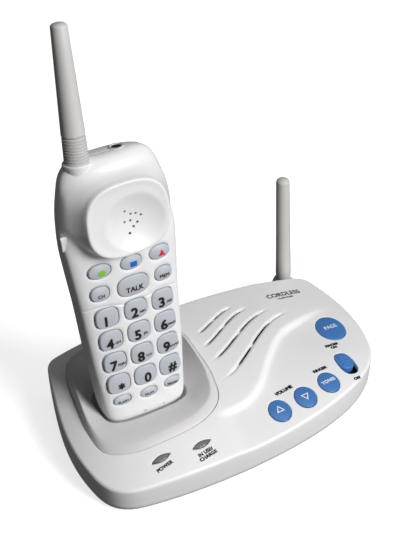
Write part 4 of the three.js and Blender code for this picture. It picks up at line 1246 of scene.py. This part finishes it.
def handset_antenna():
    matrix = antenna_matrix()
    fairing = lathe([(0, -17), (3.4, -17), (5, -11), (6.5, -5), (7.6, -1.4), (7.9, -0.5), (7.75, 0.1), (7.4, 0.35),
                     (6.9, 0.2), (0, 0.2)])
    piece("antenna_fairing", moved(fairing[0], matrix), fairing[1], WHITE, "handset")
    profile = [(0, -8), (2.8, -8), (2.8, 0.1), (6.3, 0.1)]
    ribs = 9
    pitch = ANTENNA["boot"] / ribs
    for i in range(ribs):
        low = 0.15 + i * pitch
        outer = 6.6 - i * 0.05
        profile += [(outer - 0.12, low), (outer, low + 0.2), (outer, low + pitch * 0.62), (outer - 0.15, low + pitch * 0.7)]
        profile += [(outer - 0.75, low + pitch * 0.76), (outer - 0.75, low + pitch * 0.94)]
    profile += [(5.8, ANTENNA["boot"] + GAP), (0, ANTENNA["boot"] + GAP)]
    boot = lathe(profile)
    piece("antenna_boot_ribbed", moved(boot[0], matrix), boot[1], ANTENNA_GREY, "handset",
          ["handset_antenna_boot"], 45)
    low, high = ANTENNA["boot"] + 2 * GAP, ANTENNA["tip"] - ANTENNA["seat"]
    rod = [(0, low), (6, low), (6.3, low + 0.35), (6.2, low + 3)]
    rod += [(6.2 - 1.9 * s, low + 3 + (high - 5 - low) * s) for s in (0.25, 0.5, 0.75, 1)]
    rod += [(4.3 * math.cos(a), high - 2 + 2 * math.sin(a)) for a in np.radians([15, 30, 45, 60, 75])] + [(0, high)]
    points, faces = lathe(rod)
    piece("handset_antenna_sleeve", moved(points, matrix), faces, ANTENNA_GREY, "handset",
          ["handset_antenna"])


JACK_SHIFT = 0.4


def headset_jack():
    low, high = local_box("headset_jack")
    centre = (low + high) / 2
    top = high[2] + 0.4
    profile = [(0, low[2]), (4.2, low[2]), (4.2, top - 0.6), (4.1, top - 0.2), (3.8, top), (3.2, top), (2.95, top - 0.25),
               (2.9, top - 0.5), (0, top - 0.5)]
    points, faces = lathe(profile)
    points = points + (centre[0], centre[1] + JACK_SHIFT, 0)
    piece("headset_jack_ring", moved(points, HANDSET), faces, JACK_GREY, "handset", ["headset_jack"])
    bore = [(0, top - 0.6), (2.6, top - 0.6), (2.6, top - 0.35), (1.2, top - 0.3), (0, top - 0.3)]
    points, faces = lathe(bore, 32)
    points = points + (centre[0], centre[1] + JACK_SHIFT, 0)
    piece("headset_jack_bore", moved(points, HANDSET), faces, SOCKET_BLACK, "handset")


def side_button():
    low, high = local_box("side_button")
    centre, half = (low + high) / 2, (high - low) / 2
    outline = superellipse(half[1] * 0.8, half[2], 2.6, 48)
    points, faces = pillow(outline, high[0], -low[0] - 0.2, 0.45, 0.2)
    matrix = np.eye(4)
    matrix[:3, :3] = np.column_stack([(0, 1, 0), (0, 0, 1), (-1, 0, 0)])
    matrix[:3, 3] = (0, centre[1], centre[2])
    piece("side_button_cap", moved(points, HANDSET @ matrix), faces, BUTTON_WHITE, "side_button", ["side_button"])


def base_antenna():
    """The stub on the back of the base: a knuckle on its pin and a tapered sleeve."""
    low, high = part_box("base_antenna")
    pivot_low, pivot_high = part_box("antenna_pivot")
    pivot = np.array((pivot_low + pivot_high) / 2) * 1000 - SHIFT
    length = high[2] * 1000 - pivot[2]
    width = 9.0
    middle_y = high[1] * 1000 - SHIFT[1] - width / 2
    lean = -math.radians(2)
    ring = [(2.75, 0), (5.7, 0), (6.2, 0.35), (6.3, 0.8), (6.3, width - 0.8), (6.1, width - 0.35), (5.6, width), (2.75, width)]
    angle = 2 * np.pi * np.arange(64) / 64
    turns = [np.column_stack([r * np.cos(angle), np.full(64, h), r * np.sin(angle)]) for r, h in ring]
    faces = []
    for k in range(len(turns)):
        faces += strip(k * 64, ((k + 1) % len(turns)) * 64, 64)
    knuckle = np.vstack(turns) + (pivot[0], middle_y - width / 2, pivot[2])
    body = [(0, 4), (4.3, 4), (4.7, 6), (5, 9.5), (4.9, 16), (4.7, 30), (4.5, 50), (4.25, length - 3.2), (4.1, length - 2)]
    body += [(4.1 * math.cos(a), length - 2 + 2 * math.sin(a)) for a in np.radians([20, 40, 60, 78])] + [(0, length)]
    rod, rod_faces = lathe(body)
    turn = np.array(Matrix.Rotation(lean, 4, "Y"))
    rod = moved(rod, turn) + (pivot[0], middle_y, pivot[2])
    points, all_faces = joined((knuckle, faces), (rod, rod_faces))
    piece("base_antenna_stub", points, all_faces, STUB_GREY, "base_antenna", ["base_antenna"], 45)


def foot_pads():
    for i in range(1, 5):
        node = f"rubber_foot_{i}"
        low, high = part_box(node)
        centre = np.array((low + high) / 2) * 1000 - SHIFT
        pad = lathe([(0, 0), (4.2, 0), (5.3, 0.12), (5.85, 0.5), (6, 1), (6, 2.3), (0, 2.3)], 48)
        points = pad[0] + (centre[0], centre[1], 0)
        piece(f"{node}_pad", points, pad[1], FOOT_RUBBER, "base", [node])


CARRIED = {
    "base_screw": PLAIN_STEEL, "cradle_contact": CONTACT_GOLD, "handset_contact": CONTACT_GOLD,
    "base_circuit_board": BOARD_GREEN, "handset_circuit_board": BOARD_GREEN, "loudspeaker": CONE_BLACK,
    "earpiece_receiver": CONE_BLACK, "line_jack": SOCKET_BLACK, "power_jack": SOCKET_BLACK,
    "antenna_pivot": STUB_GREY, "battery_pack": BATTERY_WRAP, "keypad_membrane": FOOT_RUBBER,
    "microphone": PLAIN_STEEL,
}


def carried_nodes():
    """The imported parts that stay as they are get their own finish."""
    for name, thing in frame["nodes"].items():
        for start, material in CARRIED.items():
            if name.startswith(start):
                thing.data.materials.clear()
                thing.data.materials.append(material)


# ---------------------------------------------------------------- camera, floor and light

CAMERA = {"azimuth": 29.021, "elevation": 36.82, "roll": -1.0, "lens": 78.55}
CAMERA_PLACE = Vector((-0.26633, -0.46503, 0.49381))


def camera():
    azimuth, elevation, roll = (math.radians(CAMERA[key]) for key in ("azimuth", "elevation", "roll"))
    back = Vector((-math.sin(azimuth) * math.cos(elevation), -math.cos(azimuth) * math.cos(elevation),
                   math.sin(elevation)))
    level = Vector((math.cos(azimuth), -math.sin(azimuth), 0))
    rise = back.cross(level)
    right = level * math.cos(roll) + rise * math.sin(roll)
    up = rise * math.cos(roll) - level * math.sin(roll)
    data = bpy.data.cameras.new("camera")
    data.lens = CAMERA["lens"]
    data.sensor_width = 36
    data.clip_start = 0.01
    thing = bpy.data.objects.new("camera", data)
    bpy.context.scene.collection.objects.link(thing)
    turn = Matrix((right, up, back)).transposed().to_4x4()
    thing.matrix_world = Matrix.Translation(CAMERA_PLACE) @ turn
    bpy.context.scene.camera = thing


def floor():
    material, tree, bsdf = nodes_of("studio_floor")
    tree.links.new(ramp(tree, noise(tree, 3, 2), (0.86, 0.86, 0.86), (0.9, 0.9, 0.9)), bsdf.inputs["Base Color"])
    bsdf.inputs["Roughness"].default_value = 0.9
    bsdf.inputs["Emission Color"].default_value = (1, 1, 1, 1)
    bsdf.inputs["Emission Strength"].default_value = 0.72
    mesh = bpy.data.meshes.new("studio_floor")
    half = 3.0
    corners = [(-half, -half, 0), (half, -half, 0), (half, half, 0), (-half, half, 0)]
    mesh.from_pydata(corners, [], [(0, 1, 2, 3)])
    mesh.materials.append(material)
    thing = bpy.data.objects.new("studio_floor", mesh)
    bpy.context.scene.collection.objects.link(thing)
    thing.visible_diffuse = False
    thing.visible_glossy = False


def soft_light(name, azimuth, elevation, distance, size, power):
    """A square soft light that looks at the telephone's middle."""
    data = bpy.data.lights.new(name, "AREA")
    data.shape = "SQUARE"
    data.size = size
    data.energy = power
    target = Vector((0, 0, 0.07))
    turn, lift = math.radians(azimuth), math.radians(elevation)
    way = Vector((math.sin(turn) * math.cos(lift), -math.cos(turn) * math.cos(lift), math.sin(lift)))
    thing = bpy.data.objects.new(name, data)
    bpy.context.scene.collection.objects.link(thing)
    thing.matrix_world = Matrix.Translation(target + way * distance) @ way.to_track_quat("Z", "Y").to_matrix().to_4x4()


def studio():
    world = bpy.data.worlds.new("studio")
    world.use_nodes = True
    world.node_tree.nodes["Background"].inputs["Color"].default_value = (1, 1, 1, 1)
    world.node_tree.nodes["Background"].inputs["Strength"].default_value = 0.075
    bpy.context.scene.world = world
    bpy.context.scene.view_settings.view_transform = "Standard"
    soft_light("key_light", 22, 33, 1.4, 0.6, 20.5)
    soft_light("top_light", 60, 76, 1.3, 0.8, 2.2)


# ---------------------------------------------------------------- the telephone

camera()
floor()
studio()
base_top()
base_floor()
cradle()
base_buttons()
ringer_switch()
lamps()
labels()
base_antenna()
foot_pads()
handset_front()
handset_back()
for key_node, key_data in KEYS.items():
    key_cap(key_node, key_data)
side_button()
headset_jack()
handset_antenna()
carried_nodes()
